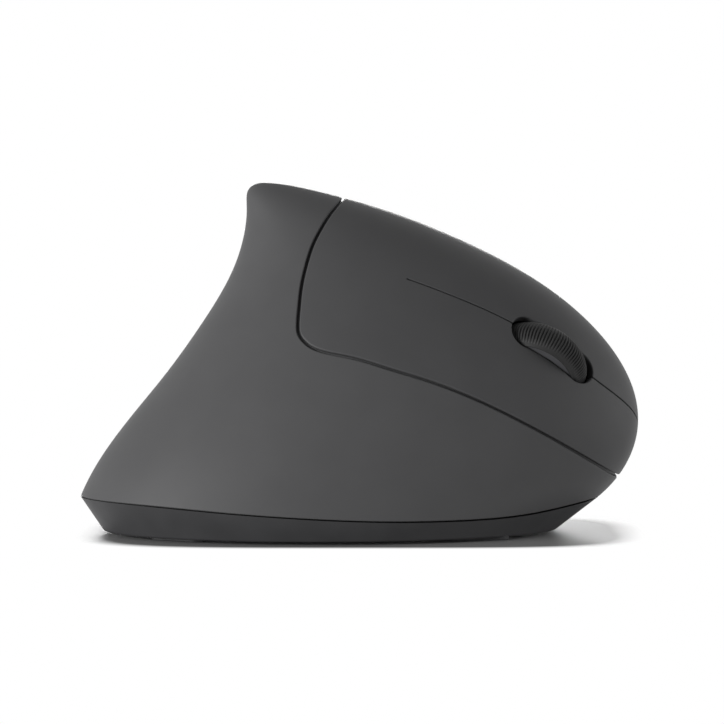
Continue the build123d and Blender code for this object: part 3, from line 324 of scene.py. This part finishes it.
def resampled(places, spacing, closed):
    """Map places spread evenly along their curve in space."""
    if closed:
        places = np.concatenate([places, places[:1]])
    run = np.concatenate([[0], np.cumsum(np.linalg.norm(np.diff(surface(places), axis=0), axis=1))])
    count = max(8, int(run[-1] / spacing))
    at = np.linspace(0, run[-1], count + 1)
    if closed:
        at = at[:-1]
    return np.stack([np.interp(at, run, places[:, 0]), np.interp(at, run, places[:, 1])], axis=1)


def shifted(places, amount, closed=True):
    """A curve moved sideways over the surface, to its left seen from outside where amount is positive."""
    points = surface(places)
    if closed:
        ahead = np.roll(points, -1, axis=0) - np.roll(points, 1, axis=0)
    else:
        ahead = np.gradient(points, axis=0)
    ahead /= np.linalg.norm(ahead, axis=1)[:, None]
    left = np.cross(normals_at(places), ahead)
    return places + map_moves(places, left * amount)


def inside(polygon, places):
    """Which map places lie inside a polygon."""
    result = np.zeros(len(places), bool)
    x, y = places[:, 0], places[:, 1]
    ax, ay = polygon[:, 0], polygon[:, 1]
    bx, by = np.roll(ax, -1), np.roll(ay, -1)
    for k in range(len(polygon)):
        if ay[k] == by[k]:
            continue
        crosses = (ay[k] > y) != (by[k] > y)
        result ^= crosses & (x < (bx[k] - ax[k]) * (y - ay[k]) / (by[k] - ay[k]) + ax[k])
    return result


def loop_area(places):
    """Twice the area of a closed curve on the map, below 0 where its inside is on the left."""
    x, y = places[:, 0], places[:, 1]
    return (x * np.roll(y, -1) - np.roll(x, -1) * y).sum()


def turned_left(places):
    """The closed curve in the order that keeps its inside on the left, seen from outside."""
    return places if loop_area(places) < 0 else places[::-1]


def finger_point(share):
    """The map place of a side-view share on the finger side."""
    return side_places([(share[0] * length, share[1] * height)], 1)


# The wheel's plane: its origin is on the surface, x runs forward along the slot, y to the ridge.
wheel_origin = surface(finger_point(wheel_place_share))[0]
wheel_out = normals_at(finger_point(wheel_place_share))[0]
wheel_span = surface(finger_point(wheel_front_share))[0] - surface(finger_point(wheel_rear_share))[0]
wheel_up = np.cross(wheel_out, wheel_span)
wheel_up /= np.linalg.norm(wheel_up)
wheel_ahead = np.cross(wheel_up, wheel_out)


def wheel_view(points):
    """Points of space as seen along the wheel's normal."""
    moved = points - wheel_origin
    return np.stack([moved @ wheel_ahead, moved @ wheel_up], axis=1)


def from_wheel_view(flat):
    """Map places of points seen along the wheel's normal, near the wheel."""
    places = np.repeat(finger_point(wheel_place_share), len(flat), axis=0)
    for step in range(view_rounds):
        miss = np.asarray(flat, float) - wheel_view(surface(places))
        first, second = slopes(places)
        a, b = first @ wheel_ahead, second @ wheel_ahead
        c, d = first @ wheel_up, second @ wheel_up
        det = a * d - b * c
        along = (d * miss[:, 0] - b * miss[:, 1]) / det
        across = (a * miss[:, 1] - c * miss[:, 0]) / det
        move = np.stack([along, across], axis=1)
        size = np.linalg.norm(move, axis=1)[:, None]
        places = places + move * np.minimum(1, largest_move / np.maximum(size, 1e-9))
    return places


def above_split(points):
    """How far some points are above the split line, seen along the wheel's normal."""
    flat = wheel_view(points)
    ends = split_shares[0][0] * length, split_shares[-1][0] * length
    x = np.clip(flat[:, 0], *ends) / length
    return flat[:, 1] - split_curve(x) * length


def split_side(places):
    """How far some map places are above the split line."""
    return above_split(surface(places))


def trace_split(start, forward, stop):
    """Follows the split line over the surface from a place until a test says stop."""
    place = np.array(start, float)
    found = [place.copy()]
    for step in range(trace_rounds):
        here = place[None]
        sides = [split_side(here + way) - split_side(here - way) for way in ([map_step, 0], [0, map_step])]
        climb = np.array([side[0] / (2 * map_step) for side in sides])
        first, second = slopes(here)
        move = np.array([climb[1], -climb[0]])
        ahead = move[0] * first[0] + move[1] * second[0]
        if step == 0:
            sign = -1 if (ahead @ wheel_ahead) * forward < 0 else 1
        place = place + sign * move / np.linalg.norm(ahead) * edge_spacing
        for correction in range(3):
            place = place - split_side(place[None])[0] * climb / (climb[0] * climb[0] + climb[1] * climb[1])
        found.append(place.copy())
        if stop(place[None]):
            break
    return np.array(found)


# The edges of the covers, on the map.
panel_line = side_spline(panel_edge_shares, panel_samples)
panel_line = panel_line[in_silhouette(panel_line)]
panel_loop = np.concatenate([side_places(panel_line, 1), side_places(panel_line, -1)[::-1]])
panel_loop = turned_left(resampled(panel_loop, edge_spacing, True))

thumb_line = side_places(side_spline(thumb_edge_shares, thumb_samples), -1)
thumb_line = resampled(thumb_line, edge_spacing, False)


def ends_below(line):
    """Two places beyond the foot, outward from a curve's last and first place."""
    return [line[i] * beyond_foot / np.linalg.norm(line[i]) for i in (-1, 0)]


thumb_ends = ends_below(thumb_line)
thumb_corner = (thumb_ends[0] + thumb_ends[1]) / 2
thumb_corner *= corner_beyond_foot / np.linalg.norm(thumb_corner)
thumb_outline = np.concatenate([thumb_line, [thumb_ends[0], thumb_corner, thumb_ends[1]]])
thumb_turn = 1 if loop_area(thumb_outline) < 0 else -1


def seam_loop(gap):
    """The seam around the form, raised by a gap."""
    turn = np.linspace(0, 2 * math.pi, seam_samples, endpoint=False)
    z = np.full_like(turn, seam_shares[0][1] * height)
    for step in range(seam_rounds):
        out = np.sqrt(1 - z / height)
        middle, reach = level(1 - out)[:2]
        z = seam_curve((middle + reach * np.cos(turn)) / length) * height + gap
    places = np.stack([out * np.cos(turn), out * np.sin(turn)], axis=1)
    return turned_left(resampled(places, edge_spacing, True))


def thumb_loop(shift):
    """The thumb panel's outline as a closed curve, grown by a shift over the surface."""
    grown = shifted(thumb_line, -shift * thumb_turn, closed=False)
    ends = ends_below(grown)
    return np.concatenate([grown, [ends[0], thumb_corner, ends[1]]])


def stadium(center, run, breadth, angle):
    """Outline of a rounded bar, in a flat view."""
    half = (run - breadth) / 2
    arcs = []
    for side in (1, -1):
        for a in np.linspace(-math.pi / 2, math.pi / 2, arc_samples):
            arcs.append((side * (half + breadth / 2 * math.cos(a)), side * breadth / 2 * math.sin(a)))
    arcs = np.array(arcs)
    turn = np.array([[math.cos(angle), -math.sin(angle)], [math.sin(angle), math.cos(angle)]])
    return arcs @ turn.T + center


slot_loop = turned_left(
    resampled(from_wheel_view(stadium((0, 0), slot_length, slot_width, 0)), edge_spacing / 2, True)
)


def side_loop(share, run, breadth):
    """The outline of a button on the thumb side."""
    center = (share[0] * length, share[1] * height)
    outline = stadium(center, run, breadth, side_row_angle)
    return turned_left(resampled(side_places(outline, -1), edge_spacing / 2, True))


side_loops = {
    "back_button": side_loop(back_share, side_button_length, side_button_width),
    "forward_button": side_loop(forward_share, side_button_length, side_button_width),
    "dpi_button": side_loop(dpi_share, 2 * dpi_radius + dpi_flat, 2 * dpi_radius),
}

panel_wide = shifted(panel_loop, -trace_margin)
split_start = from_wheel_view([(split_shares[0][0] * length, split_shares[0][1] * length)])[0]


def off_panel(place):
    """Whether the split has left the panel."""
    return not inside(panel_wide, place)[0]


split_line = trace_split(split_start, 1, off_panel)
split_tail = trace_split(split_start, -1, off_panel)


def split_loop(half):
    """The split between the keys as a closed curve, with half its width on either side."""
    first = shifted(split_line, half, closed=False)
    second = shifted(split_line, -half, closed=False)
    behind = (surface(split_line[:1]) - surface(split_line[1:2])) / edge_spacing * half
    start = split_start + map_moves(split_start[None], behind)
    return np.concatenate([start, first, second[::-1]])


def surface_grid():
    """Map places spread evenly over the whole form, in rings around the crown."""
    rings = [np.zeros((1, 2))]
    turn = np.linspace(0, 2 * math.pi, ring_samples, endpoint=False)
    around = np.stack([np.cos(turn), np.sin(turn)], axis=1)
    crown, step, stretch = 0.01, 0.002, 1.2
    out = 1.0
    while out > crown:
        rings.append(resampled(out * around, point_spacing, True))
        climb = np.linalg.norm(surface(out * around) - surface((out - step) * around), axis=1).max() / step
        out -= point_spacing * stretch / climb
    return np.concatenate(rings)


grid = surface_grid()


def piece_faces(loops, keep):
    """Triangles of the part of the map that a test keeps, cut along some closed or open curves."""
    edge_clearance, merge_distance = 0.5, 1e-7
    edge_places = []
    edges = []
    for places, closed in loops:
        start = len(edge_places)
        edge_places += [tuple(p) for p in places]
        count = len(places)
        edges += [(start + i, start + (i + 1) % count) for i in range(count if closed else count - 1)]
    tree = kdtree.KDTree(len(edge_places))
    for i, point in enumerate(surface(edge_places)):
        tree.insert(point, i)
    tree.balance()
    chosen = grid[keep(grid)]
    chosen = [
        tuple(place)
        for place, point in zip(chosen, surface(chosen))
        if tree.find(point)[2] > point_spacing * edge_clearance
    ]
    given = [Vector(place) for place in edge_places + chosen]
    result = geometry.delaunay_2d_cdt(given, edges, [], 0, merge_distance)
    places = np.array([tuple(place) for place in result[0]])
    faces = np.array([tuple(face) for face in result[2]])
    centers = places[faces].mean(axis=1)
    faces = faces[keep(centers)]
    corner = places[faces]
    first = corner[:, 1] - corner[:, 0]
    second = corner[:, 2] - corner[:, 0]
    spin = first[:, 0] * second[:, 1] - first[:, 1] * second[:, 0]
    faces = np.where((spin > 0)[:, None], faces[:, ::-1], faces)
    used, again = np.unique(faces, return_inverse=True)
    return places[used], again.reshape(faces.shape)


def open_edges(faces):
    """Directed edges that only one face has."""
    found = dict.fromkeys((face[i], face[(i + 1) % len(face)]) for face in faces for i in range(len(face)))
    return [(a, b) for a, b in found if (b, a) not in found]


def shell(places, faces, radius_at, lift=0.0, depth=wall):
    """Points, normals and faces of a cover with rounded edges, a wall and an inner side."""
    skin = surface(places)
    outward = normals_at(places)
    skin = skin + outward * lift
    edges = open_edges(faces)
    after = {a: b for a, b in edges}
    before = {b: a for a, b in edges}
    rim = np.array(sorted(after))
    order = {vertex: i for i, vertex in enumerate(rim)}
    ahead = np.array([skin[after[v]] - skin[before.get(v, v)] for v in rim])
    ahead /= np.maximum(np.linalg.norm(ahead, axis=1)[:, None], 1e-9)
    sideways = np.cross(ahead, outward[rim])
    radius = radius_at(places[rim])[:, None]
    points = [skin]
    normals = [outward]
    rings = [rim]
    total = len(skin)
    for k in range(1, ring_count + 1):
        angle = math.pi / 2 * k / ring_count
        sunk = outward[rim] * radius * (1 - math.cos(angle))
        points.append(skin[rim] + sideways * radius * math.sin(angle) - sunk)
        normals.append(outward[rim] * math.cos(angle) + sideways * math.sin(angle))
        rings.append(np.arange(len(rim)) + total)
        total += len(rim)
    points.append(skin[rim] + sideways * radius - outward[rim] * (depth + lift))
    normals.append(sideways)
    rings.append(np.arange(len(rim)) + total)
    total += len(rim)
    points.append(skin - outward * (depth + lift))
    normals.append(-outward)
    rings.append(rim + total)
    all_faces = [tuple(face) for face in faces]
    for upper, lower in zip(rings[:-1], rings[1:]):
        for a, b in edges:
            i, j = order[a], order[b]
            all_faces.append((upper[j], upper[i], lower[i], lower[j]))
    all_faces += [tuple(face[::-1] + total) for face in faces]
    return np.concatenate(points), np.concatenate(normals), all_faces


def new_piece(name, points, normals, faces):
    """A smooth piece of the scene, from points in millimetres and their normals."""
    mesh = bpy.data.meshes.new(name)
    mesh.from_pydata([tuple(p) for p in points * mm], [], [tuple(int(v) for v in face) for face in faces])
    mesh.update()
    mesh.shade_smooth()
    mesh.normals_split_custom_set_from_vertices([tuple(n) for n in normals])
    piece = bpy.data.objects.new(name, mesh)
    bpy.context.scene.collection.objects.link(piece)
    return piece


def picked_faces(points, normals, faces, chosen):
    """Only some faces, with the points that they use."""
    kept = [face for face, keep in zip(faces, chosen) if keep]
    used = sorted({vertex for face in kept for vertex in face})
    order = {vertex: i for i, vertex in enumerate(used)}
    return points[used], normals[used], [tuple(order[v] for v in face) for face in kept]


def radius_near(curves):
    """The rounding radius at a place: that of the nearest of some curves."""
    tree = kdtree.KDTree(sum(len(places) for places, radius in curves))
    radii = []
    for places, radius in curves:
        for place in places:
            tree.insert((place[0], place[1], 0), len(radii))
            radii.append(radius)
    tree.balance()

    def radius_at(places):
        return np.array([radii[tree.find((p[0], p[1], 0))[1]] for p in places])

    return radius_at


def paint(piece, finish):
    """Gives a piece one finish."""
    piece.data.materials.clear()
    piece.data.materials.append(finishes[finish])


def make_grip():
    """The cover around the palm, the back and the top."""
    seam = shifted(seam_loop(seam_gap / 2), seam_radius)
    panel = shifted(panel_loop, -panel_gap - edge_radius)
    thumb = thumb_loop(panel_gap + edge_radius)

    def keep(places):
        return inside(seam, places) & ~inside(panel, places) & ~inside(thumb, places)

    places, faces = piece_faces([(seam, True), (panel, True), (thumb, True)], keep)
    radius = radius_near([(seam, seam_radius), (panel, edge_radius), (thumb, edge_radius)])
    piece = new_piece("palm_cover", *shell(places, faces, radius))
    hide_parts("grip_shell")
    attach(piece, "casing")
    paint(piece, "soft_touch_shell")


def make_thumb_panel():
    """The cover of the thumb side, with holes for its buttons."""
    seam = shifted(seam_loop(seam_gap / 2), seam_radius)
    thumb = thumb_loop(-edge_radius)
    holes = [shifted(loop, -side_button_gap - edge_radius / 2) for loop in side_loops.values()]

    def keep(places):
        result = inside(seam, places) & inside(thumb, places)
        for hole in holes:
            result &= ~inside(hole, places)
        return result

    places, faces = piece_faces([(seam, True), (thumb, True)] + [(hole, True) for hole in holes], keep)
    curves = [(seam, seam_radius), (thumb, edge_radius)] + [(hole, edge_radius / 2) for hole in holes]
    piece = new_piece("thumb_cover", *shell(places, faces, radius_near(curves)))
    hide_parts("thumb_panel")
    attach(piece, "casing")
    paint(piece, "soft_touch_shell")


def make_keys():
    """The two main keys, each one cover with the plate behind it."""
    panel = shifted(panel_loop, edge_radius)
    thumb = thumb_loop(panel_gap + edge_radius)
    split = split_loop(split_gap / 2 + split_radius)
    slot = shifted(slot_loop, -edge_radius)

    def keep(places):
        return inside(panel, places) & ~inside(thumb, places) & ~inside(split, places) & ~inside(slot, places)

    loops = [(panel, True), (thumb, True), (split, True), (slot, True), (split_tail, False)]
    places, faces = piece_faces(loops, keep)
    rounded = [(panel, edge_radius), (thumb, edge_radius), (split, split_radius), (slot, edge_radius)]
    radius = radius_near(rounded)
    points, normals, all_faces = shell(places, faces, radius, depth=key_wall)
    heights = above_split(points)
    side = [heights[list(face)].mean() > 0 for face in all_faces]
    for name, chosen, nodes, body in (
        ("upper_key", side, ("left_button", "key_plate"), "left_key"),
        ("lower_key", [not s for s in side], ("right_button",), "right_key"),
    ):
        piece = new_piece(name, *picked_faces(points, normals, all_faces, chosen))
        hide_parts(*nodes)
        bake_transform(piece)
        paint(piece, "soft_touch_keys")


def make_tongue():
    """The cover's lip under the gap round the main keys, so that no light comes through."""
    outer = shifted(panel_loop, -panel_gap - tongue_reach)
    inner = shifted(panel_loop, -tongue_clearance)
    thumb = thumb_loop(-tongue_reach)
    seam = shifted(seam_loop(seam_gap / 2), wall)

    def keep(places):
        return inside(outer, places) & ~inside(inner, places) & ~inside(thumb, places) & inside(seam, places)

    places, faces = piece_faces([(outer, True), (inner, True), (thumb, True), (seam, True)], keep)
    radius = radius_near([(outer, split_radius)])
    form = shell(places, faces, radius, lift=-tongue_depth, depth=tongue_depth + tongue_thickness)
    piece = new_piece("palm_cover_lip", *form)
    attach(piece, "casing")
    paint(piece, "soft_touch_shell")


def make_tyre():
    """The tyre with fine ribs that run out before its rounded edges."""
    crown_rows, edge_rows, points_per_rib = 25, 5, 10
    fade_start, fade_slope = 0.3, 2.5
    rib_middle, rib_swing = 0.5, 0.9
    edge_start = 0.2
    half = tyre_width / 2
    profile = []
    for y in np.linspace(-half + tyre_edge_radius, half - tyre_edge_radius, crown_rows):
        ribbed = min(1, fade_slope * (1 - abs(y) / (half - fade_start)))
        profile.append((y, wheel_radius - tyre_crown * (y / half) ** 2, ribbed))
    edge = wheel_radius - tyre_crown
    for side in (1, -1):
        corner = []
        for a in np.linspace(edge_start, math.pi / 2, edge_rows):
            y = side * (half - tyre_edge_radius * (1 - math.sin(a)))
            corner.append((y, edge - tyre_edge_radius * (1 - math.cos(a)), 0))
        corner.append((side * half, tyre_inner_radius, 0))
        profile = profile + corner if side > 0 else corner[::-1] + profile
    count = tyre_ribs * points_per_rib
    turn = np.linspace(0, 2 * math.pi, count, endpoint=False)
    wave = np.clip(rib_middle - rib_swing * np.cos(turn * tyre_ribs), 0, 1)
    center = wheel_origin - wheel_out * wheel_depth
    points = []
    for y, radius, ribbed in profile:
        reach = radius - rib_depth * max(0, ribbed) * (1 - wave)
        ring = wheel_ahead * (reach * np.cos(turn))[:, None] + wheel_out * (reach * np.sin(turn))[:, None]
        points.append(center + wheel_up * y + ring)
    rows = len(profile)
    faces = []
    for i in range(rows):
        j = (i + 1) % rows
        for k in range(count):
            n = (k + 1) % count
            faces.append((i * count + k, i * count + n, j * count + n, j * count + k))
    mesh = bpy.data.meshes.new("ribbed_tyre")
    mesh.from_pydata([tuple(p) for p in np.concatenate(points) * mm], [], faces)
    mesh.validate()
    mesh.update()
    mesh.shade_smooth()
    piece = bpy.data.objects.new("ribbed_tyre", mesh)
    bpy.context.scene.collection.objects.link(piece)
    for face in mesh.polygons[(rows - 1) * count :]:
        face.use_smooth = False
    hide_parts("wheel_tyre")
    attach(piece, "wheel")
    paint(piece, "wheel_rubber")


def make_side_buttons():
    """The caps of the three buttons on the thumb side."""
    for name, loop in side_loops.items():
        outline = shifted(loop, cap_radius)

        def keep(places):
            return inside(outline, places)

        places, faces = piece_faces([(outline, True)], keep)
        radius = radius_near([(outline, cap_radius)])
        form = shell(places, faces, radius, lift=side_button_rise, depth=cap_wall)
        piece = new_piece(name.replace("button", "cap"), *form)
        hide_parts(name)
        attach(piece, name.replace("button", "key"))
        paint(piece, "key_gloss")


def shader(name):
    """A new material with its node tree and its shader."""
    material = bpy.data.materials.new(name)
    material.use_nodes = True
    tree = material.node_tree
    return material, tree, tree.nodes["Principled BSDF"]


def noise(tree, scale, detail=2.0):
    """A noise over the piece's own coordinates, with a scale per metre."""
    place = tree.nodes.new("ShaderNodeTexCoord")
    texture = tree.nodes.new("ShaderNodeTexNoise")
    texture.inputs["Scale"].default_value = scale
    texture.inputs["Detail"].default_value = detail
    tree.links.new(place.outputs["Object"], texture.inputs["Vector"])
    return texture.outputs["Fac"]


def ranged(tree, value, low, high, start=0.3, end=0.7):
    """A value between start and end, brought to the range from low to high."""
    node = tree.nodes.new("ShaderNodeMapRange")
    node.inputs["From Min"].default_value = start
    node.inputs["From Max"].default_value = end
    node.inputs["To Min"].default_value = low
    node.inputs["To Max"].default_value = high
    tree.links.new(value, node.inputs["Value"])
    return node.outputs["Result"]


def bumped(tree, surface_shader, value, distance):
    """Fine relief in the shader's normal."""
    bump = tree.nodes.new("ShaderNodeBump")
    bump.inputs["Strength"].default_value = 1.0
    bump.inputs["Distance"].default_value = distance
    tree.links.new(value, bump.inputs["Height"])
    tree.links.new(bump.outputs["Normal"], surface_shader.inputs["Normal"])


# The scales of the slow changes in shade and gloss, per metre.
shade_scale = 120
gloss_scale = 260
gloss_detail = 4
grain_detail = 3


def plastic(name, colour, roughness, grain, depth, spread, tint, metallic, specular):
    """A moulded or metal surface: fine grain, and slight changes in its gloss and its shade."""
    material, tree, principled = shader(name)
    principled.inputs["Metallic"].default_value = metallic
    principled.inputs["Specular IOR Level"].default_value = specular
    shade = tree.nodes.new("ShaderNodeMix")
    shade.data_type = "RGBA"
    shade.inputs["A"].default_value = (*[c * (1 - tint) for c in colour], 1)
    shade.inputs["B"].default_value = (*[min(1, c * (1 + tint)) for c in colour], 1)
    tree.links.new(ranged(tree, noise(tree, shade_scale), 0, 1), shade.inputs["Factor"])
    tree.links.new(shade.outputs["Result"], principled.inputs["Base Color"])
    slow = noise(tree, gloss_scale, gloss_detail)
    gloss = ranged(tree, slow, roughness - spread, roughness + spread)
    tree.links.new(gloss, principled.inputs["Roughness"])
    bumped(tree, principled, noise(tree, grain, grain_detail), depth)
    return material


def glass(name, colour):
    """A clear moulding with faint waves."""
    clearness, refraction = 0.9, 1.58
    smooth, hazy = 0.04, 0.12
    haze_scale, wave_scale, wave_depth = 300, 900, 4e-6
    material, tree, principled = shader(name)
    principled.inputs["Base Color"].default_value = (*colour, 1)
    principled.inputs["Transmission Weight"].default_value = clearness
    principled.inputs["IOR"].default_value = refraction
    haze = ranged(tree, noise(tree, haze_scale, gloss_detail), smooth, hazy)
    tree.links.new(haze, principled.inputs["Roughness"])
    bumped(tree, principled, noise(tree, wave_scale), wave_depth)
    return material


# Each finish: its colour, roughness, grain per metre, depth of the grain in metres, spread of the
# roughness, spread of the shade, metallic and specular.
plastics = {
    "soft_touch_shell": ((0.047, 0.047, 0.048), 0.54, 6500, 7e-6, 0.012, 0.03, 0, 0.12),
    "soft_touch_keys": ((0.042, 0.042, 0.043), 0.52, 6500, 7e-6, 0.012, 0.03, 0, 0.12),
    "base_plastic": ((0.024, 0.024, 0.025), 0.52, 5000, 8e-6, 0.04, 0.08, 0, 0.2),
    "key_gloss": ((0.016, 0.016, 0.017), 0.24, 9000, 2e-6, 0.03, 0.08, 0, 0.5),
    "wheel_rubber": ((0.014, 0.014, 0.014), 0.6, 8000, 1e-5, 0.04, 0.08, 0, 0.15),
    "inner_plastic": ((0.03, 0.03, 0.032), 0.5, 4000, 8e-6, 0.04, 0.08, 0, 0.5),
    "white_plastic": ((0.72, 0.72, 0.7), 0.42, 5000, 5e-6, 0.04, 0.08, 0, 0.5),
    "foot_glide": ((0.02, 0.02, 0.021), 0.6, 3000, 6e-6, 0.04, 0.08, 0, 0.15),
    "circuit_board": ((0.012, 0.11, 0.035), 0.38, 2500, 1.5e-5, 0.06, 0.25, 0, 0.5),
    "chip_epoxy": ((0.014, 0.014, 0.015), 0.55, 9000, 8e-6, 0.04, 0.08, 0, 0.5),
    "zinc_screw": ((0.5, 0.5, 0.51), 0.3, 6000, 6e-6, 0.08, 0.06, 1, 0.5),
    "spring_steel": ((0.6, 0.59, 0.57), 0.27, 6000, 5e-6, 0.07, 0.06, 1, 0.5),
    "steel_pin": ((0.55, 0.55, 0.55), 0.22, 7000, 4e-6, 0.05, 0.05, 1, 0.5),
    "cell_wrap": ((0.05, 0.14, 0.42), 0.28, 1500, 6e-6, 0.05, 0.12, 0, 0.5),
    "can_metal": ((0.62, 0.62, 0.63), 0.25, 5000, 4e-6, 0.08, 0.05, 1, 0.5),
    "plug_metal": ((0.58, 0.58, 0.6), 0.24, 5000, 4e-6, 0.06, 0.05, 1, 0.5),
    "red_plastic": ((0.5, 0.03, 0.02), 0.4, 5000, 5e-6, 0.04, 0.08, 0, 0.5),
}
finishes = {name: plastic(name, *values) for name, values in plastics.items()}
finishes["clear_lens"] = glass("clear_lens", (0.93, 0.95, 0.97))

make_grip()
make_thumb_panel()
make_tongue()
make_keys()
make_side_buttons()
make_tyre()
slots = {part["node"]: part["material_slot"] for part in record["subparts"]}
for node, piece in frame["nodes"].items():
    paint(piece, slots[node])


def background_rays(tree):
    """1 for the rays that show the white background: seen directly, in a reflection or through glass."""
    rays = tree.nodes.new("ShaderNodeLightPath")
    shown = rays.outputs["Is Camera Ray"]
    for kind in ("Is Glossy Ray", "Is Transmission Ray"):
        either = tree.nodes.new("ShaderNodeMath")
        either.operation = "MAXIMUM"
        tree.links.new(shown, either.inputs[0])
        tree.links.new(rays.outputs[kind], either.inputs[1])
        shown = either.outputs["Value"]
    return shown


def softbox(name, place, aim, size, power):
    """A square lamp, with its place, aim and size in metres and its power in watts."""
    light = bpy.data.lights.new(name, "AREA")
    light.shape = "RECTANGLE"
    light.size = size
    light.size_y = size
    light.energy = power
    lamp = bpy.data.objects.new(name, light)
    lamp.location = place
    lamp.rotation_euler = (Vector(aim) - Vector(place)).to_track_quat("-Z", "Y").to_euler()
    bpy.context.scene.collection.objects.link(lamp)


# The photo's light: strong from the front left, and weak from the right, the back and below.
softbox("left_box", (-0.86, -0.6, 0.17), (0, 0, 0.05), 0.4, 22.5)
softbox("right_box", (0.85, 0.0, 0.26), (0.02, 0, 0.03), 0.7, 4.4)
softbox("thumb_side_box", (0.0, 1.1, 0.14), (0, 0, 0.03), 0.35, 6.5)
softbox("below_box", (0.75, -0.4, -0.6), (0, 0, 0.0), 0.6, 5.0)
room_strength = 0.13

# The room lights the object evenly, and the background stays white.
world = bpy.data.worlds.new("studio")
bpy.context.scene.world = world
world.use_nodes = True
sky = world.node_tree
sky.nodes.clear()
backdrop = sky.nodes.new("ShaderNodeBackground")
backdrop.inputs["Color"].default_value = (1, 1, 1, 1)
room = sky.nodes.new("ShaderNodeBackground")
room.inputs["Color"].default_value = (1, 1, 1, 1)
room.inputs["Strength"].default_value = room_strength
mix = sky.nodes.new("ShaderNodeMixShader")
out = sky.nodes.new("ShaderNodeOutputWorld")
sky.links.new(background_rays(sky), mix.inputs["Fac"])
sky.links.new(room.outputs["Background"], mix.inputs[1])
sky.links.new(backdrop.outputs["Background"], mix.inputs[2])
sky.links.new(mix.outputs["Shader"], out.inputs["Surface"])


def make_floor():
    """A white floor that fades into the white behind it, so that only the shadow shows: its cast shadow, and
    a painted shadow where its colour is dark near the object.
    """
    reach = 3.0
    roughness = 0.6
    # The shadow's rounded oblong, and how far out in it the floor fades and its painted shadow ends, as
    # squared shares.
    shadow_half = (0.06, 0.034, 1)
    fade_start, fade_end = 0.82, 1.02
    # Painted shadow: the floor's own colour runs from dark inside the oblong to light outside it.
    painted_shadow_colour, light, painted_shadow_end, unshaded_start = 0.12, 0.9, 0.8, 1.0
    mesh = bpy.data.meshes.new("floor")
    corners = [(-reach, -reach, 0), (reach, -reach, 0), (reach, reach, 0), (-reach, reach, 0)]
    mesh.from_pydata(corners, [], [(0, 1, 2, 3)])
    floor = bpy.data.objects.new("floor", mesh)
    bpy.context.scene.collection.objects.link(floor)
    material, tree, principled = shader("floor")
    principled.inputs["Roughness"].default_value = roughness
    shown_rays = background_rays(tree)
    glow = tree.nodes.new("ShaderNodeEmission")
    glow.inputs["Color"].default_value = (1, 1, 1, 1)
    place = tree.nodes.new("ShaderNodeTexCoord")
    oblong = tree.nodes.new("ShaderNodeVectorMath")
    oblong.operation = "DIVIDE"
    oblong.inputs[1].default_value = shadow_half
    tree.links.new(place.outputs["Object"], oblong.inputs[0])
    squared = tree.nodes.new("ShaderNodeVectorMath")
    squared.operation = "MULTIPLY"
    far = tree.nodes.new("ShaderNodeVectorMath")
    far.operation = "LENGTH"
    for socket in (0, 1):
        tree.links.new(oblong.outputs["Vector"], squared.inputs[socket])
    tree.links.new(squared.outputs["Vector"], far.inputs[0])
    fade = ranged(tree, far.outputs["Value"], 0, 1, fade_start, fade_end)
    # Painted shadow: the floor's base colour is dark near the object and light further out.
    floor_with_painted_shadow = ranged(tree, far.outputs["Value"], painted_shadow_colour, light, painted_shadow_end, unshaded_start)
    tree.links.new(floor_with_painted_shadow, principled.inputs["Base Color"])
    seen = tree.nodes.new("ShaderNodeMath")
    seen.operation = "MULTIPLY"
    tree.links.new(fade, seen.inputs[0])
    tree.links.new(shown_rays, seen.inputs[1])
    blend = tree.nodes.new("ShaderNodeMixShader")
    tree.links.new(seen.outputs["Value"], blend.inputs["Fac"])
    tree.links.new(principled.outputs["BSDF"], blend.inputs[1])
    tree.links.new(glow.outputs["Emission"], blend.inputs[2])
    # From below, and for the light of the lamps, the floor is clear.
    side = tree.nodes.new("ShaderNodeNewGeometry")
    front = tree.nodes.new("ShaderNodeMath")
    front.operation = "GREATER_THAN"
    tree.links.new(shown_rays, front.inputs[0])
    tree.links.new(side.outputs["Backfacing"], front.inputs[1])
    clear = tree.nodes.new("ShaderNodeBsdfTransparent")
    shown = tree.nodes.new("ShaderNodeMixShader")
    tree.links.new(front.outputs["Value"], shown.inputs["Fac"])
    tree.links.new(clear.outputs["BSDF"], shown.inputs[1])
    tree.links.new(blend.outputs["Shader"], shown.inputs[2])
    tree.links.new(shown.outputs["Shader"], tree.nodes["Material Output"].inputs["Surface"])
    mesh.materials.append(material)


make_floor()

# The camera stands level with the photo's: its distance and aim in metres, its shift in pixels.
camera_distance = 0.7
tilt = math.radians(3)
target = Vector((0, 0, 0.0374))
sensor_width = 36
lens_length = 162.5
photo_width = 724
shift_right, shift_up = 1, -4.4
nearest = 0.01

camera_data = bpy.data.cameras.new("camera")
camera = bpy.data.objects.new("camera", camera_data)
bpy.context.scene.collection.objects.link(camera)
bpy.context.scene.camera = camera
camera.location = target + Vector((0, -math.cos(tilt), math.sin(tilt))) * camera_distance
camera.rotation_euler = (target - camera.location).to_track_quat("-Z", "Y").to_euler()
camera_data.sensor_width = sensor_width
camera_data.lens = lens_length
camera_data.shift_x = shift_right / photo_width
camera_data.shift_y = shift_up / photo_width
camera_data.clip_start = nearest
bpy.context.scene.view_settings.view_transform = "Standard"
